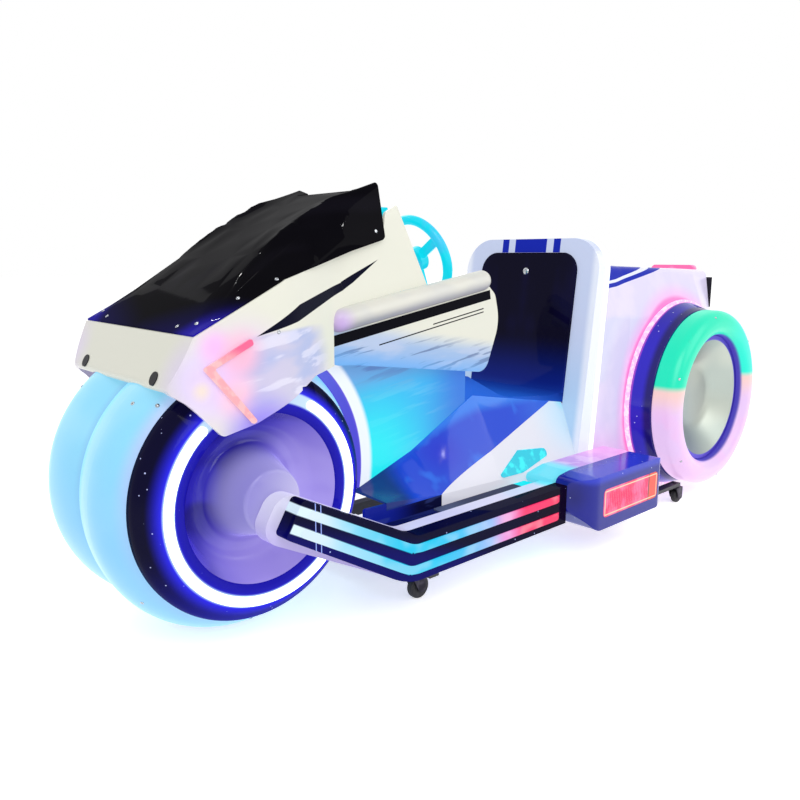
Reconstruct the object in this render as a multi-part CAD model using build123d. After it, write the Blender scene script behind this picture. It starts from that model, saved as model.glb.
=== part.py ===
from build123d import *

import math
import os

# A fairground bumper car in the form of a motorcycle: glass-fibre shells with
# lit dummy wheels on a steel frame, driven by one steered wheel that is hidden
# in the big front wheel, and carried by four swivel castors.
# Frame: +X forward, +Y to the rider's left, +Z up, millimetres, origin on the
# floor under the middle of the vehicle.

# ---------------------------------------------------------------- driving sizes
FRONT_X, FRONT_Z = 887.0, 340.0      # axis of the front dummy wheel
REAR_X, REAR_Z = -817.0, 354.0       # axis of the rear dummy wheels
BODY_HALF = 261.0                    # half width over nose, sills and seat arch
WAIST_HALF = 174.0                   # half width of the tank between the knees
SHELL = 8.0                          # wall of the glass-fibre mouldings
SEAM = 0.4                           # gap between neighbouring mouldings
REST = 0.3                           # gap under a piece that rests on another
WIDE = 600.0                         # beyond the widest piece, for cuts right across the car
TALL = 1300.0                        # above the highest piece, for cuts from above

# Front dummy wheel, radii about its axis and half widths from the middle
TYRE_R = 313.0                       # over the two bulges
TYRE_CREASE_R = 289.0                # groove between the bulges
TYRE_EDGE_Y = BODY_HALF - 77.0       # where the side ring starts
TYRE_BULGE_Y = TYRE_EDGE_Y - 82.0    # middle of a bulge
TYRE_SHOULDER = 101.0                # radius of the shoulder arc
RING_FACE_Y = BODY_HALF - 18.0       # flat outer face of the side ring
RING_BORE_R = 180.0                  # bore of the side ring, seat of the dish
LED_R, LED_WIDTH, LED_HIGH = 215.0, 20.0, 5.0
LED_GAP_FROM, LED_GAP_TO = 50.0, 122.0   # degrees left bare under the cowl
BOSS_FACE_Y = RING_FACE_Y + 25.0     # outer end of the dish's boss
DISH_DEPTH = 83.0                    # from the side ring's face to the bottom of the dish
BOSS_R = 66.0

# Steered drive unit
DRIVE_R, DRIVE_WIDE, DRIVE_HUB_R = 100.0, 60.0, 70.0
DRIVE_AXLE_R = 8.0
DRIVE_HOLE_R = 110.0                 # opening in the bottom of the tyre shell
STEM_R = 20.0
HEAD_R = 32.0
HEAD_Z0, HEAD_Z1 = 430.0, 690.0
RUNNING = 0.05                       # radial clearance of a shaft in its bore
THRUST = 0.5                         # end gap at a bearing
GOOSENECK_Z, GOOSENECK_H, GOOSENECK_W = 634.0, 40.0, 56.0

# Frame
RAIL_Z, RAIL_H, RAIL_W, RAIL_Y = 84.0, 30.0, 30.0, 150.0
FRAME_FRONT, FRAME_REAR = FRONT_X - 327.0, -1060.0
POST_X = FRAME_FRONT - 40.0
ARM_X = -200.0                       # cross tube that carries pods and rear arms
BATTERY = (400.0, 250.0, 215.0)
BATTERY_X = -560.0
TOW_HOLE_Y, TOW_HOLE_R = 60.0, 6.5   # two M12 holes in the rearmost tube
BELT_HOLE_Y, BELT_HOLE_R = 110.0, 5.5    # two M10 holes for a lap belt
JACK_X, JACK_LONG, JACK_THICK = 300.0, 80.0, 6.0     # jacking plates under the rails

# Castors: swivel x, y, wheel radius, wheel width, trail, swivel height
FRONT_CASTOR = (FRAME_FRONT - 66.0, BODY_HALF + 1.0, 30.0, 22.0, 20.0)
REAR_CASTOR = (REAR_X + 139.0, BODY_HALF + 62.0, 25.0, 20.0, 18.0)
REAR_ARM_Z, REAR_ARM_H = 60.0, 12.0  # outriggers that carry the rear castors
CASTOR_STEM_R, CASTOR_AXLE_R = 6.0, 4.0

# Lower body
FLOOR_Z = RAIL_Z + RAIL_H + REST     # lower edge of the mouldings, on the cross tubes
DECK_Z, DECK_H = 205.0, 12.0
PAD_ENDS = (120.0, 430.0, 36.0)      # x of both ends, width
LENS_PROUD = 4.0
BODY_FRONT = FRONT_X - 312.0         # front of the centre body, behind the wheel
WHEEL_ARCH_R = TYRE_R + 13.0         # arch of the centre body round the front wheel
SADDLE_REAR = -215.0                 # where the saddle body meets the seat arch
RISER_FRONT = BODY_FRONT + 66.0
COLOUR_LINE = [(-150.0, 402.0), (391.0, 247.0)]   # x, z of the skirt's upper edge
# x, sill height, shoulder half width, shoulder height
SILL_BREAK = 391.0                   # where the colour line meets the sill
BODY_SECTIONS = [
    (SADDLE_REAR, 230.0, BODY_HALF - 79.0, 392.0),
    (163.0, 240.0, 150.0, 455.0),
    (SILL_BREAK, 247.0, 150.0, 338.0),
    (BODY_FRONT, 266.0, 150.0, 272.0),
]

# Side bumpers
BAR_FRONT = (FRONT_X + 9.0, FRONT_Z - 12.0)      # middle of the front end
BASE_REACH = 26.0                    # how far the pale base runs past the bar's end
BAR_KINK = (613.0, 175.0)
BAR_REAR_X = 45.4
BAR_H_FRONT, BAR_H = 84.0, 105.0
BAR_WALL = 39.0                      # depth of the dark bar
BAR_OUT = BODY_HALF + 130.0
BAR_OUT_FRONT = BAR_OUT - 43.0
BASE_WALL = 39.6
STRIP_OFFSET, STRIP_W, STRIP_H = 24.0, 18.0, 5.0
POD_FRONT, POD_REAR, POD_TOP, POD_BOTTOM = 45.0, -358.0, 250.0, 97.0
BOX_PROUD = 59.0                     # how far the lamp boxes stand past the bars
BOX_OUT = BAR_OUT + BOX_PROUD

# Seat
ARCH_OUT_R, ARCH_IN_R = 100.0, 60.0
ARCH_TOP = 885.0
ARCH_IN_TOP, ARCH_IN_HALF = ARCH_TOP - 42.0, BODY_HALF - 75.0
ARCH_FRONT = [(-268.0, ARCH_TOP), (-208.0, 402.0)]    # x, z along the leaning front
ARCH_BACK = [(-322.0, ARCH_TOP), (-280.0, 402.0)]     # and along the leaning back
TRIM_DEPTH = 22.0                    # light band round the back of the arch
ARCH_REACH = -450.0                  # x behind the whole of the leaning arch
PAD_PROUD, PAD_THICK = 10.0, 36.0    # backrest in front of the arch, its depth

# Rear body sections: x, bottom, half width low, height of shoulder, half width
# at the top, top
REAR_HALF = BODY_HALF - 35.0         # flat sides that carry the rear wheels
REAR_SECTIONS = [
    (-270.0, 217.0, BODY_HALF - 9.0, 660.0, BODY_HALF - 54.0, 813.0),
    (REAR_X + 317.0, 190.0, REAR_HALF, 640.0, REAR_HALF - 41.0, 800.0),
    (REAR_X - 193.0, 200.0, REAR_HALF, 610.0, REAR_HALF - 66.0, 785.0),
    (REAR_X - 348.0, 300.0, REAR_HALF - 56.0, 600.0, REAR_HALF - 86.0, 780.0),
]
FENDER_Y0, FENDER_Y1 = REAR_HALF + 14.0, REAR_HALF + 79.0
FENDER_R0, FENDER_R1 = 322.0, 297.0
LIT_RING_R, LIT_TUBE_R = 257.0, 41.0
DISH_R = 199.0

# Steering wheel
STEER_X, STEER_Z, STEER_TILT = 230.0, 824.0, 20.0
STEER_R, STEER_TUBE = 110.0, 13.0
COLUMN_R = 14.0


# --------------------------------------------------------------------- helpers
def rounded(corners):
    """Face through (u, v, radius) corners, each turned into an arc."""
    count = len(corners)
    starts, mids, ends = [], [], []
    for index, (u, v, radius) in enumerate(corners):
        before = Vector(*corners[index - 1][:2]) - Vector(u, v)
        after = Vector(*corners[(index + 1) % count][:2]) - Vector(u, v)
        before, after = before.normalized(), after.normalized()
        if radius <= 0:
            starts.append(Vector(u, v))
            mids.append(None)
            ends.append(Vector(u, v))
            continue
        half = math.radians(before.get_angle(after)) / 2
        reach = radius / math.tan(half)
        inward = (before + after).normalized()
        starts.append(Vector(u, v) + before * reach)
        ends.append(Vector(u, v) + after * reach)
        mids.append(Vector(u, v) + inward * (radius / math.sin(half) - radius))
    edges = []
    for index in range(count):
        if mids[index] is not None:
            edges.append(ThreePointArc(starts[index], mids[index], ends[index]))
        edges.append(Line(ends[index], starts[(index + 1) % count]))
    return make_face(Curve() + edges)


def side_prism(corners, y0, y1):
    """Solid between y0 and y1 from an outline of (x, z, radius) corners."""
    plane = Plane(origin=(0, y1, 0), x_dir=(1, 0, 0), z_dir=(0, -1, 0))
    return extrude(plane * rounded(corners), amount=y1 - y0)


def plan_prism(corners, z0, z1):
    """Solid between z0 and z1 from an outline of (x, y, radius) corners."""
    return extrude(Plane.XY.offset(z0) * rounded(corners), amount=z1 - z0)


def cross_prism(corners, x0, x1):
    """Solid between x0 and x1 from an outline of (y, z, radius) corners."""
    return extrude(Plane.YZ.offset(x0) * rounded(corners), amount=x1 - x0)


def cross_face(x, corners):
    return Plane.YZ.offset(x) * rounded(corners)


def turned(corners, x, z):
    """Solid of revolution about the line y through (x, z): (y, radius, fillet)."""
    plane = Plane(origin=(x, 0, z), x_dir=(0, 1, 0), z_dir=(1, 0, 0))
    return revolve(plane * rounded(corners), axis=Axis((x, 0, z), (0, 1, 0)))


def box(x0, x1, y0, y1, z0, z1):
    centre = ((x0 + x1) / 2, (y0 + y1) / 2, (z0 + z1) / 2)
    return Pos(*centre) * Box(x1 - x0, y1 - y0, z1 - z0)


def rod(start, end, radius):
    """Solid round bar from one point to another."""
    along = Vector(*end) - Vector(*start)
    plane = Plane(origin=start, z_dir=along.normalized())
    return extrude(plane * Circle(radius), amount=along.length)


def pair(left):
    """The left piece and its mirror image on the right."""
    return left + mirror(left, about=Plane.XZ)


def symmetric(half_corners):
    """Outline through (y, z, radius) corners of the left half and its mirror."""
    right = [(-y, z, r) for y, z, r in reversed(half_corners) if y > 0]
    return half_corners + right


def write(name, shape):
    export_step(shape, f"parts/{name}.step")


# ----------------------------------------------------------- front dummy wheel
def tyre_solid(inset, half):
    """Twin-bulge tyre, moved in by inset, cut off at the half width."""
    crown = TYRE_R - inset
    crease = TYRE_CREASE_R - inset
    drop = crown - crease
    crease_r = (TYRE_BULGE_Y ** 2 + drop ** 2) / (2 * drop)
    mid_y = TYRE_BULGE_Y / 2
    mid_r = crown - crease_r + math.sqrt(crease_r ** 2 - mid_y ** 2)
    shoulder = TYRE_SHOULDER - inset
    centre_r = crown - shoulder
    reach = half - TYRE_BULGE_Y
    edge_r = centre_r + math.sqrt(shoulder ** 2 - reach ** 2)
    near_y, near_r = reach / 2, centre_r + math.sqrt(shoulder ** 2 - reach ** 2 / 4)
    top = [
        ThreePointArc((-half, edge_r), (-TYRE_BULGE_Y - near_y, near_r), (-TYRE_BULGE_Y, crown)),
        ThreePointArc((-TYRE_BULGE_Y, crown), (-mid_y, mid_r), (0, crease)),
        ThreePointArc((0, crease), (mid_y, mid_r), (TYRE_BULGE_Y, crown)),
        ThreePointArc((TYRE_BULGE_Y, crown), (TYRE_BULGE_Y + near_y, near_r), (half, edge_r)),
    ]
    sides = [Line((half, edge_r), (half, 0)), Line((half, 0), (-half, 0)), Line((-half, 0), (-half, edge_r))]
    plane = Plane(origin=(FRONT_X, 0, FRONT_Z), x_dir=(0, 1, 0), z_dir=(1, 0, 0))
    face = plane * make_face(Curve() + (top + sides))
    return revolve(face, axis=Axis((FRONT_X, 0, FRONT_Z), (0, 1, 0)))


def tyre_edge_radius(inset):
    shoulder = TYRE_SHOULDER - inset
    reach = TYRE_EDGE_Y - TYRE_BULGE_Y
    return TYRE_R - inset - shoulder + math.sqrt(shoulder ** 2 - reach ** 2)


def front_tyre_shell():
    shell = tyre_solid(0, TYRE_EDGE_Y) - tyre_solid(SHELL, TYRE_EDGE_Y)
    drive_hole = Pos(FRONT_X, 0, 60) * Cylinder(DRIVE_HOLE_R, 160)
    head_hole = Pos(FRONT_X, 0, FRONT_Z + TYRE_R) * Cylinder(HEAD_R + SEAM, 200)
    beam = box(FRONT_X - TYRE_R - 20, FRONT_X, -GOOSENECK_W / 2 - 1, GOOSENECK_W / 2 + 1,
               GOOSENECK_Z - 1, FRONT_Z + TYRE_R + 10)
    return shell - drive_hole - head_hole - beam


def front_side_rings():
    outer = tyre_edge_radius(0)
    y0 = TYRE_EDGE_Y + SEAM
    return pair(turned([
        (y0, RING_BORE_R, 0), (RING_FACE_Y - 3, RING_BORE_R, 3), (RING_FACE_Y, RING_BORE_R + 12, 8),
        (RING_FACE_Y, LED_R + 18, 26), (y0 + 22, outer, 30), (y0, outer, 0)], FRONT_X, FRONT_Z))


def ring_space():
    """Room that the cowl leaves round a side ring."""
    outer = tyre_edge_radius(0) + 2
    face = RING_FACE_Y + 2
    inside, bore = TYRE_EDGE_Y - 34, RING_BORE_R - 80
    return turned([(inside, bore, 0), (inside, outer, 0), (TYRE_EDGE_Y + 26, outer, 0),
                   (face, LED_R + 28, 0), (face, bore, 0)], FRONT_X, FRONT_Z)


def front_led_rings():
    y0 = RING_FACE_Y + REST
    half = LED_WIDTH / 2
    full = turned([(y0, LED_R - half, 0), (y0 + LED_HIGH, LED_R - half, 2),
                   (y0 + LED_HIGH, LED_R + half, 2), (y0, LED_R + half, 0)], FRONT_X, FRONT_Z)
    far = 2 * LED_R

    def at(angle, radius):
        turn = math.radians(angle)
        return FRONT_X + radius * math.cos(turn), FRONT_Z + radius * math.sin(turn)

    middle = (LED_GAP_FROM + LED_GAP_TO) / 2
    wedge = side_prism([(FRONT_X, FRONT_Z, 0), (*at(LED_GAP_FROM, far), 0),
                        (*at(middle, far), 0), (*at(LED_GAP_TO, far), 0)], y0 - 5, y0 + 20)
    strip = full - wedge
    for angle in (LED_GAP_FROM, LED_GAP_TO):
        x, z = at(angle, LED_R)
        strip += rod((x, y0, z), (x, y0 + LED_HIGH, z), half - 0.2)
    return pair(strip)


def front_dishes():
    rim = RING_BORE_R - SEAM
    y = RING_FACE_Y - 5
    deep = RING_FACE_Y - DISH_DEPTH
    back = deep - SHELL - 1
    return pair(turned([
        (y, rim, 0), (deep, rim - 29.6, 40), (deep, BOSS_R + 34, 22), (BOSS_FACE_Y, BOSS_R, 8),
        (BOSS_FACE_Y, 0, 0), (BOSS_FACE_Y - SHELL, 0, 0), (BOSS_FACE_Y - SHELL, BOSS_R - SHELL, 4),
        (back, BOSS_R + 26, 28), (back, rim - 23.6, 44), (y - 24, rim, 0)], FRONT_X, FRONT_Z))


# ------------------------------------------------------------ cowl, hood, dash
HOOD_EDGE = [(FRONT_X + 155.0, 685.0), (FRONT_X - 51.0, 786.0), (512.0, 870.0)]
NOSE_X, NOSE_Z = FRONT_X + 203.0, 586.0          # lowest point of the nose face
NOSE_CORNER = 62.0
TANK_FRONT = FRONT_X - 219.0         # where cowl and tank meet
COWL_SKIRT = [(NOSE_X, NOSE_Z, 18), (FRONT_X + 171, 562, 30), (FRONT_X + 103, 491, 14),
              (FRONT_X + 26, 507, 60), (FRONT_X - 69, 545, 60), (FRONT_X - 145, 580, 40),
              (TANK_FRONT, 590, 0)]
# x, half width of the cowl
COWL_HALVES = [(FRONT_X - 57, BODY_HALF), (TANK_FRONT - 28, WAIST_HALF + 6), (300.0, WAIST_HALF)]
ROLL_FRONT, ROLL_REAR = (TANK_FRONT - 25.0, 690.0), (168.0, 768.0)
ROLL_R, ROLL_Y = 27.0, WAIST_HALF + 4
DASH_TOP, DASH_FOOT = (467.0, 950.0), (351.0, 738.0)
TANK_FLOOR = 662.0                   # floor between the knee rolls
HOOD_WALL = 6.0
# x from the front axle and z round the left arrowhead
CHEVRON = [(140, 626), (35, 676), (31, 664), (117, 624), (27, 512), (38, 508)]
HOOD_RIDGE_R = 14.0


def nose_lean():
    return (NOSE_X - HOOD_EDGE[0][0]) / (HOOD_EDGE[0][1] - NOSE_Z)


def cowl_plan(inset):
    nose = NOSE_X + 5 - inset
    corner = NOSE_CORNER - inset / 2
    left = [(nose, BODY_HALF - inset, corner)]
    left += [(x, half - inset, 200) for x, half in COWL_HALVES[:-1]]
    left += [(COWL_HALVES[-1][0], COWL_HALVES[-1][1] - inset, 0)]
    return left + [(x, -y, r) for x, y, r in reversed(left)]


def seam_height(x):
    """Height of the seam between cowl and tank, along the knee roll."""
    share = (ROLL_FRONT[0] - x) / (ROLL_FRONT[0] - ROLL_REAR[0])
    return ROLL_FRONT[1] + share * (ROLL_REAR[1] - ROLL_FRONT[1])


def cowl():
    seam = [(TANK_FRONT, seam_height(TANK_FRONT), 0), (*DASH_FOOT, 0)]
    collar = [(*DASH_TOP, 6), (503, 930, 12)]
    edge = [(x, z, 0) for x, z in reversed(HOOD_EDGE)]
    outer = side_prism(COWL_SKIRT + seam + collar + edge, -WIDE, WIDE) & plan_prism(cowl_plan(0), 0, TALL)
    high, low = TALL, 400.0
    nose = HOOD_EDGE[0][0] - SHELL - 1
    high_x = nose - nose_lean() * (high - HOOD_EDGE[0][1])
    low_x = nose + nose_lean() * (HOOD_EDGE[0][1] - low)
    inner = side_prism([(high_x, high, 0), (low_x, low, 0), (250, low, 0), (250, high, 0)], -WIDE, WIDE)
    inner &= plan_prism(cowl_plan(SHELL), 0, TALL)
    shell = outer - inner - tyre_solid(-3, TYRE_EDGE_Y + 8) - pair(ring_space())
    for side in (-1, 1):
        shell -= knee_roll(side, SEAM)
        shell -= nose_plug(side, 0.1, 30)
    return shell


# x, edge half width, ridge half width, ridge z, valley half width, valley z
HOOD_SECTIONS = [
    (FRONT_X + 153, BODY_HALF - 4, BODY_HALF - 25, 690.0, 120.0, 691.0),
    (FRONT_X + 48, BODY_HALF - 3, BODY_HALF - 57, 764.0, 112.0, 769.0),
    (FRONT_X - 39, BODY_HALF - 4, 164.0, 848.0, 100.0, 841.0),
    (735.0, BODY_HALF - 31, 153.0, 920.0, 94.0, 908.0),
    (620.0, WAIST_HALF + 22, 156.0, 981.0, 100.0, 968.0),
    (512.0, WAIST_HALF + 14, 161.0, 1003.0, 110.0, 988.0),
]


def hood_loft(inset):
    """Outer form of the hood, or the hollow under its skin."""
    faces = []
    last = len(HOOD_SECTIONS) - 1
    for index, (x, half, ridge, ridge_z, valley, valley_z) in enumerate(HOOD_SECTIONS):
        drop = inset
        if inset and index == last:
            x += inset
        if inset and index == 0:
            drop += 12
        edge = edge_height(x)
        faces.append(cross_face(x, symmetric([
            (half - drop, edge - 30 - 5 * inset, 0), (half - drop, edge + 4 - drop, 0),
            (ridge - inset / 2, ridge_z - drop, HOOD_RIDGE_R), (valley, valley_z - drop, 0)])))
    return loft(faces, ruled=True)


def edge_height(x):
    """Height of the joint between cowl and hood at x."""
    for (x0, z0), (x1, z1) in zip(HOOD_EDGE, HOOD_EDGE[1:]):
        if x >= x1:
            break
    return z0 + (x - x0) / (x1 - x0) * (z1 - z0)


def hood_notch(grow):
    """Cut between the two fins at the back of the hood."""
    half = 112 + grow
    edge_x, floor = HOOD_EDGE[2][0] + 4 + grow, HOOD_EDGE[2][1] + 70 - grow
    return side_prism([(edge_x + 64, floor + 90 + grow, 0), (edge_x, floor, 0), (480, floor, 0),
                       (480, floor + 90 + grow, 0)], -half, half)


def hood():
    front, rear = NOSE_X + 110, HOOD_EDGE[2][0] - 0.5
    keep = [(front, edge_height(front) + SEAM, 0), (HOOD_EDGE[1][0], HOOD_EDGE[1][1] + SEAM, 0),
            (rear, HOOD_EDGE[2][1] + SEAM, 14), (rear, TALL, 0), (front, TALL, 0)]
    skin = hood_loft(0) - hood_notch(0)
    hollow = hood_loft(HOOD_WALL) - hood_notch(HOOD_WALL)
    return (skin - hollow) & side_prism(keep, -WIDE, WIDE)


def dash_panel():
    """Closes the back of the cowl; the steering column passes through it."""
    (x1, z1), (x0, z0) = DASH_TOP, DASH_FOOT
    half = WAIST_HALF - SHELL - 8
    rear = HOOD_EDGE[2][0] - 0.5 - SEAM
    panel = side_prism([(x0 + 24, TANK_FLOOR + SEAM, 0), (x0 + 34, TANK_FLOOR + SEAM, 0), (x0 + 34, z0 + 6, 0),
                        (x1 + 22, z1 - 16, 0), (rear, z1 - 16, 0), (rear, z1 - 6, 0),
                        (x1 + 12, z1 - 6, 0), (x0 + 24, z0 + 6, 0)], -half, half)
    tilt = math.radians(STEER_TILT)
    end = (STEER_X + 400 * math.cos(tilt), 0, STEER_Z - 400 * math.sin(tilt))
    return panel - rod((STEER_X, 0, STEER_Z), end, COLUMN_R + RUNNING)


def chevron_leds():
    """Raised light strips in the shape of an arrowhead on the cowl's sides."""
    y0 = BODY_HALF + REST
    strip = side_prism([(FRONT_X + dx, z, 4) for dx, z in CHEVRON], y0, y0 + STRIP_H)
    return pair(strip)


def nose_plug(side, grow, depth):
    """Plug through the nose face, square to it."""
    z, y = 604.0, side * 172.0
    lean = math.atan(nose_lean())
    x = NOSE_X - nose_lean() * (z - NOSE_Z)
    out = Vector(math.cos(lean), 0, math.sin(lean))
    face = Vector(x, y, z)
    return rod(tuple(face - out * depth), tuple(face + out * 2), 14 + grow)


def nose_plugs():
    return nose_plug(1, 0, 16) + nose_plug(-1, 0, 16)


# ------------------------------------------------------------- tank and column
TUNNEL_REAR = 190.0


def tank_shell():
    rear = [(138, 520, 40), (84, 655, 120), (104, 730, 30), (150, ROLL_REAR[1] + 2, 10)]
    top = [(DASH_FOOT[0] - SEAM, seam_height(DASH_FOOT[0]) - SEAM, 0),
           (TANK_FRONT - SEAM, seam_height(TANK_FRONT) - SEAM, 0)]
    lower = [(TANK_FRONT - SEAM, 588, 30), (TANK_FRONT - 68, 584, 60)]
    solid = side_prism(rear + top + lower, -WAIST_HALF, WAIST_HALF)
    inside = WAIST_HALF - 14
    front = TANK_FRONT + 32
    channel = box(60, front, -inside, inside, TANK_FLOOR, TALL)
    cavity = box(TUNNEL_REAR + 40, front, -inside, inside, 0, TANK_FLOOR - SHELL)
    nose_room = box(420, front, -inside, inside, 0, TALL)
    return solid - channel - cavity - nose_room


def knee_roll(side, grow):
    y, radius = side * ROLL_Y, ROLL_R + grow
    front, rear = (ROLL_FRONT[0], y, ROLL_FRONT[1]), (ROLL_REAR[0], y, ROLL_REAR[1])
    return rod(front, rear, radius) + Pos(*front) * Sphere(radius) + Pos(*rear) * Sphere(radius)


def knee_rolls():
    keep = box(0, NOSE_X, WAIST_HALF + SEAM, WAIST_HALF + 60, 0, TALL)
    return pair(knee_roll(1, 0) & keep)


def shoulder_height(x):
    """Height of the body's shoulder line at x."""
    for (x0, _, _, z0), (x1, _, _, z1) in zip(BODY_SECTIONS, BODY_SECTIONS[1:]):
        if x <= x1:
            return z0 + (x - x0) / (x1 - x0) * (z1 - z0)
    return BODY_SECTIONS[-1][3]


def front_wheel_space(radius):
    """Cylinder about the front axle, right across the car."""
    return rod((FRONT_X, -WIDE, FRONT_Z), (FRONT_X, WIDE, FRONT_Z), radius)


def tunnel():
    """Centre body under the tank: arched in front round the wheel, hollow round the frame's post."""
    half = BODY_SECTIONS[-1][2] - 2
    rear, front = TUNNEL_REAR, TANK_FRONT - 10
    foot = [(x, shoulder_height(x) + SEAM, 0) for x in (rear, SILL_BREAK, BODY_FRONT)]
    foot.append((front, BODY_SECTIONS[-1][3] + SEAM, 0))
    top = [(x, tank_underside(x) - SEAM, 0) for x in (front, TANK_FRONT - 68, rear)]
    solid = side_prism(foot + top, -half, half) - front_wheel_space(WHEEL_ARCH_R)
    room = box(rear + 40, TANK_FRONT, SHELL - half, half - SHELL, 0, TALL)
    return solid - (room - front_wheel_space(WHEEL_ARCH_R + SHELL))


def tank_underside(x):
    """Height of the tank's flat underside at x."""
    rear, kink = (138, 520), (TANK_FRONT - 68, 584)
    if x > kink[0]:
        return kink[1] + (x - kink[0]) / 68 * 4
    return rear[1] + (x - rear[0]) / (kink[0] - rear[0]) * (kink[1] - rear[1])


# ---------------------------------------------------------------- lower body
def body_loft(inset):
    faces = []
    for index, (x, sill, shoulder, high) in enumerate(BODY_SECTIONS):
        drop = 100.0 if inset else 0.0
        if inset and index in (0, len(BODY_SECTIONS) - 1):
            x += -1.0 if index == 0 else 1.0
        faces.append(cross_face(x, symmetric([
            (BODY_HALF - inset, FLOOR_Z - drop, 0), (BODY_HALF - inset, sill - inset / 2, 0),
            (shoulder - inset / 2, high - inset, 0)])))
    return loft(faces, ruled=True)


def below_diagonal(offset):
    """Everything under the colour line from the seat to the front of the sill."""
    x0, (x1, z1) = SADDLE_REAR - 50, COLOUR_LINE[1]
    z0 = z1 + (COLOUR_LINE[0][1] - z1) / (COLOUR_LINE[0][0] - x1) * (x0 - x1)
    return side_prism([(x1, 0, 0), (x1, z1 + offset, 0), (x0, z0 + offset, 0), (x0, 0, 0)], -WIDE, WIDE)


def lower_body():
    shell = body_loft(0) - body_loft(SHELL) - slab(ARCH_FRONT, SEAM, ARCH_FRONT, -200)
    skirts = shell & below_diagonal(-SEAM / 2)
    front = box(SILL_BREAK, BODY_FRONT + 5, -WIDE, WIDE, 0, BODY_SECTIONS[2][1] - SEAM / 2)
    saddle = shell - below_diagonal(SEAM / 2) - front
    post = GOOSENECK_W / 2 + 2
    saddle -= box(POST_X - 22, POST_X + 22, -post, post, 0, TALL)
    return skirts, saddle


def sill_risers():
    """Dark panels between the deck and the front of the sills."""
    x0 = SILL_BREAK + SEAM
    top = BODY_SECTIONS[2][1] - SEAM
    return pair(side_prism([(x0, FLOOR_Z, 0), (RISER_FRONT, FLOOR_Z + 20, 6), (RISER_FRONT, top + 18, 6),
                            (BODY_FRONT + SEAM, top + 16, 0), (BODY_FRONT + SEAM, top, 0), (x0, top, 0)],
                           BODY_HALF - SHELL, BODY_HALF))


def decks():
    x0, x1 = POD_FRONT + 20 + SEAM, RISER_FRONT - 1
    inner = BODY_HALF + SEAM
    outer = BAR_OUT - BAR_WALL - BASE_WALL - 2 * SEAM
    front_outer = outer - 4
    return pair(plan_prism([(x0, inner, 0), (x1, inner, 0), (x1, front_outer, 6), (x1 - 40, outer, 0),
                            (x0, outer, 0)], DECK_Z, DECK_Z + DECK_H))


def step_pads():
    z = DECK_Z + DECK_H + REST
    y = BODY_HALF + 6
    x0, x1, wide = PAD_ENDS
    return pair(plan_prism([(x0, y, 8), (x1, y, 8), (x1, y + wide, 8), (x0, y + wide, 8)], z, z + 3))


def skirt_lenses():
    """Teardrop lamps on the slope of the skirts."""
    layer = body_loft(-LENS_PROUD) - body_loft(-SEAM)
    return pair(layer & side_prism([(176, 244, 5), (60, 298, 12), (-58, 286, 12), (-54, 266, 10),
                                    (72, 242, 16)], WAIST_HALF, WIDE))


# --------------------------------------------------------------- side bumpers
def bar_outline(reach, grow_front_bottom, x_rear, end_radius):
    """Side outline of a bumper: falls from the wheel boss to the kink, then level."""
    (x1, z1), (x0, z0) = BAR_FRONT, BAR_KINK
    fall = math.atan2(z1 - z0, x1 - x0)
    x1, z1 = x1 + reach * math.cos(fall), z1 + reach * math.sin(fall)
    nx, nz = -math.sin(fall), math.cos(fall)
    shift = math.tan(fall / 2)
    top = low = BAR_H / 2
    front_top, front_low = BAR_H_FRONT / 2, BAR_H_FRONT / 2 + grow_front_bottom
    return [(x_rear, z0 - low, 0), (x0 + shift * low, z0 - low, 165),
            (x1 - nx * front_low, z1 - nz * front_low, end_radius),
            (x1 + nx * front_top, z1 + nz * front_top, end_radius),
            (x0 - shift * top, z0 + top, 70), (x_rear, z0 + top, 0)]


def bumper_band(inner_shift, outer_shift):
    """Plan band of a bumper layer, measured inward from the bar's outer face."""
    front, kink = BAR_FRONT[0] + 60, BAR_KINK[0]
    return plan_prism([
        (POD_REAR - 20, BAR_OUT - inner_shift, 0), (kink, BAR_OUT - inner_shift, 200),
        (front, BAR_OUT_FRONT - inner_shift, 0), (front, BAR_OUT_FRONT - outer_shift, 0),
        (kink, BAR_OUT - outer_shift, 200), (POD_REAR - 20, BAR_OUT - outer_shift, 0)], 0, TALL)


def bumper_bars():
    outline = side_prism(bar_outline(0, 0, BAR_REAR_X, 10), 0, WIDE)
    return pair(outline & bumper_band(BAR_WALL, 0))


def bumper_bases():
    outline = side_prism(bar_outline(BASE_REACH, 22, POD_FRONT - 60, 40), 0, WIDE)
    beam = outline & bumper_band(BAR_WALL + SEAM + BASE_WALL, BAR_WALL + SEAM)
    pod = side_prism([(POD_REAR, POD_BOTTOM + 20, 30), (POD_FRONT - 60, POD_BOTTOM + 20, 40),
                      (POD_FRONT + 20, DECK_Z + 30, 12), (POD_FRONT - 60, POD_TOP, 40), (POD_REAR, POD_TOP, 38)],
                     BODY_HALF + SEAM, BAR_OUT - BAR_WALL - SEAM)
    return pair(beam + pod)


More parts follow.
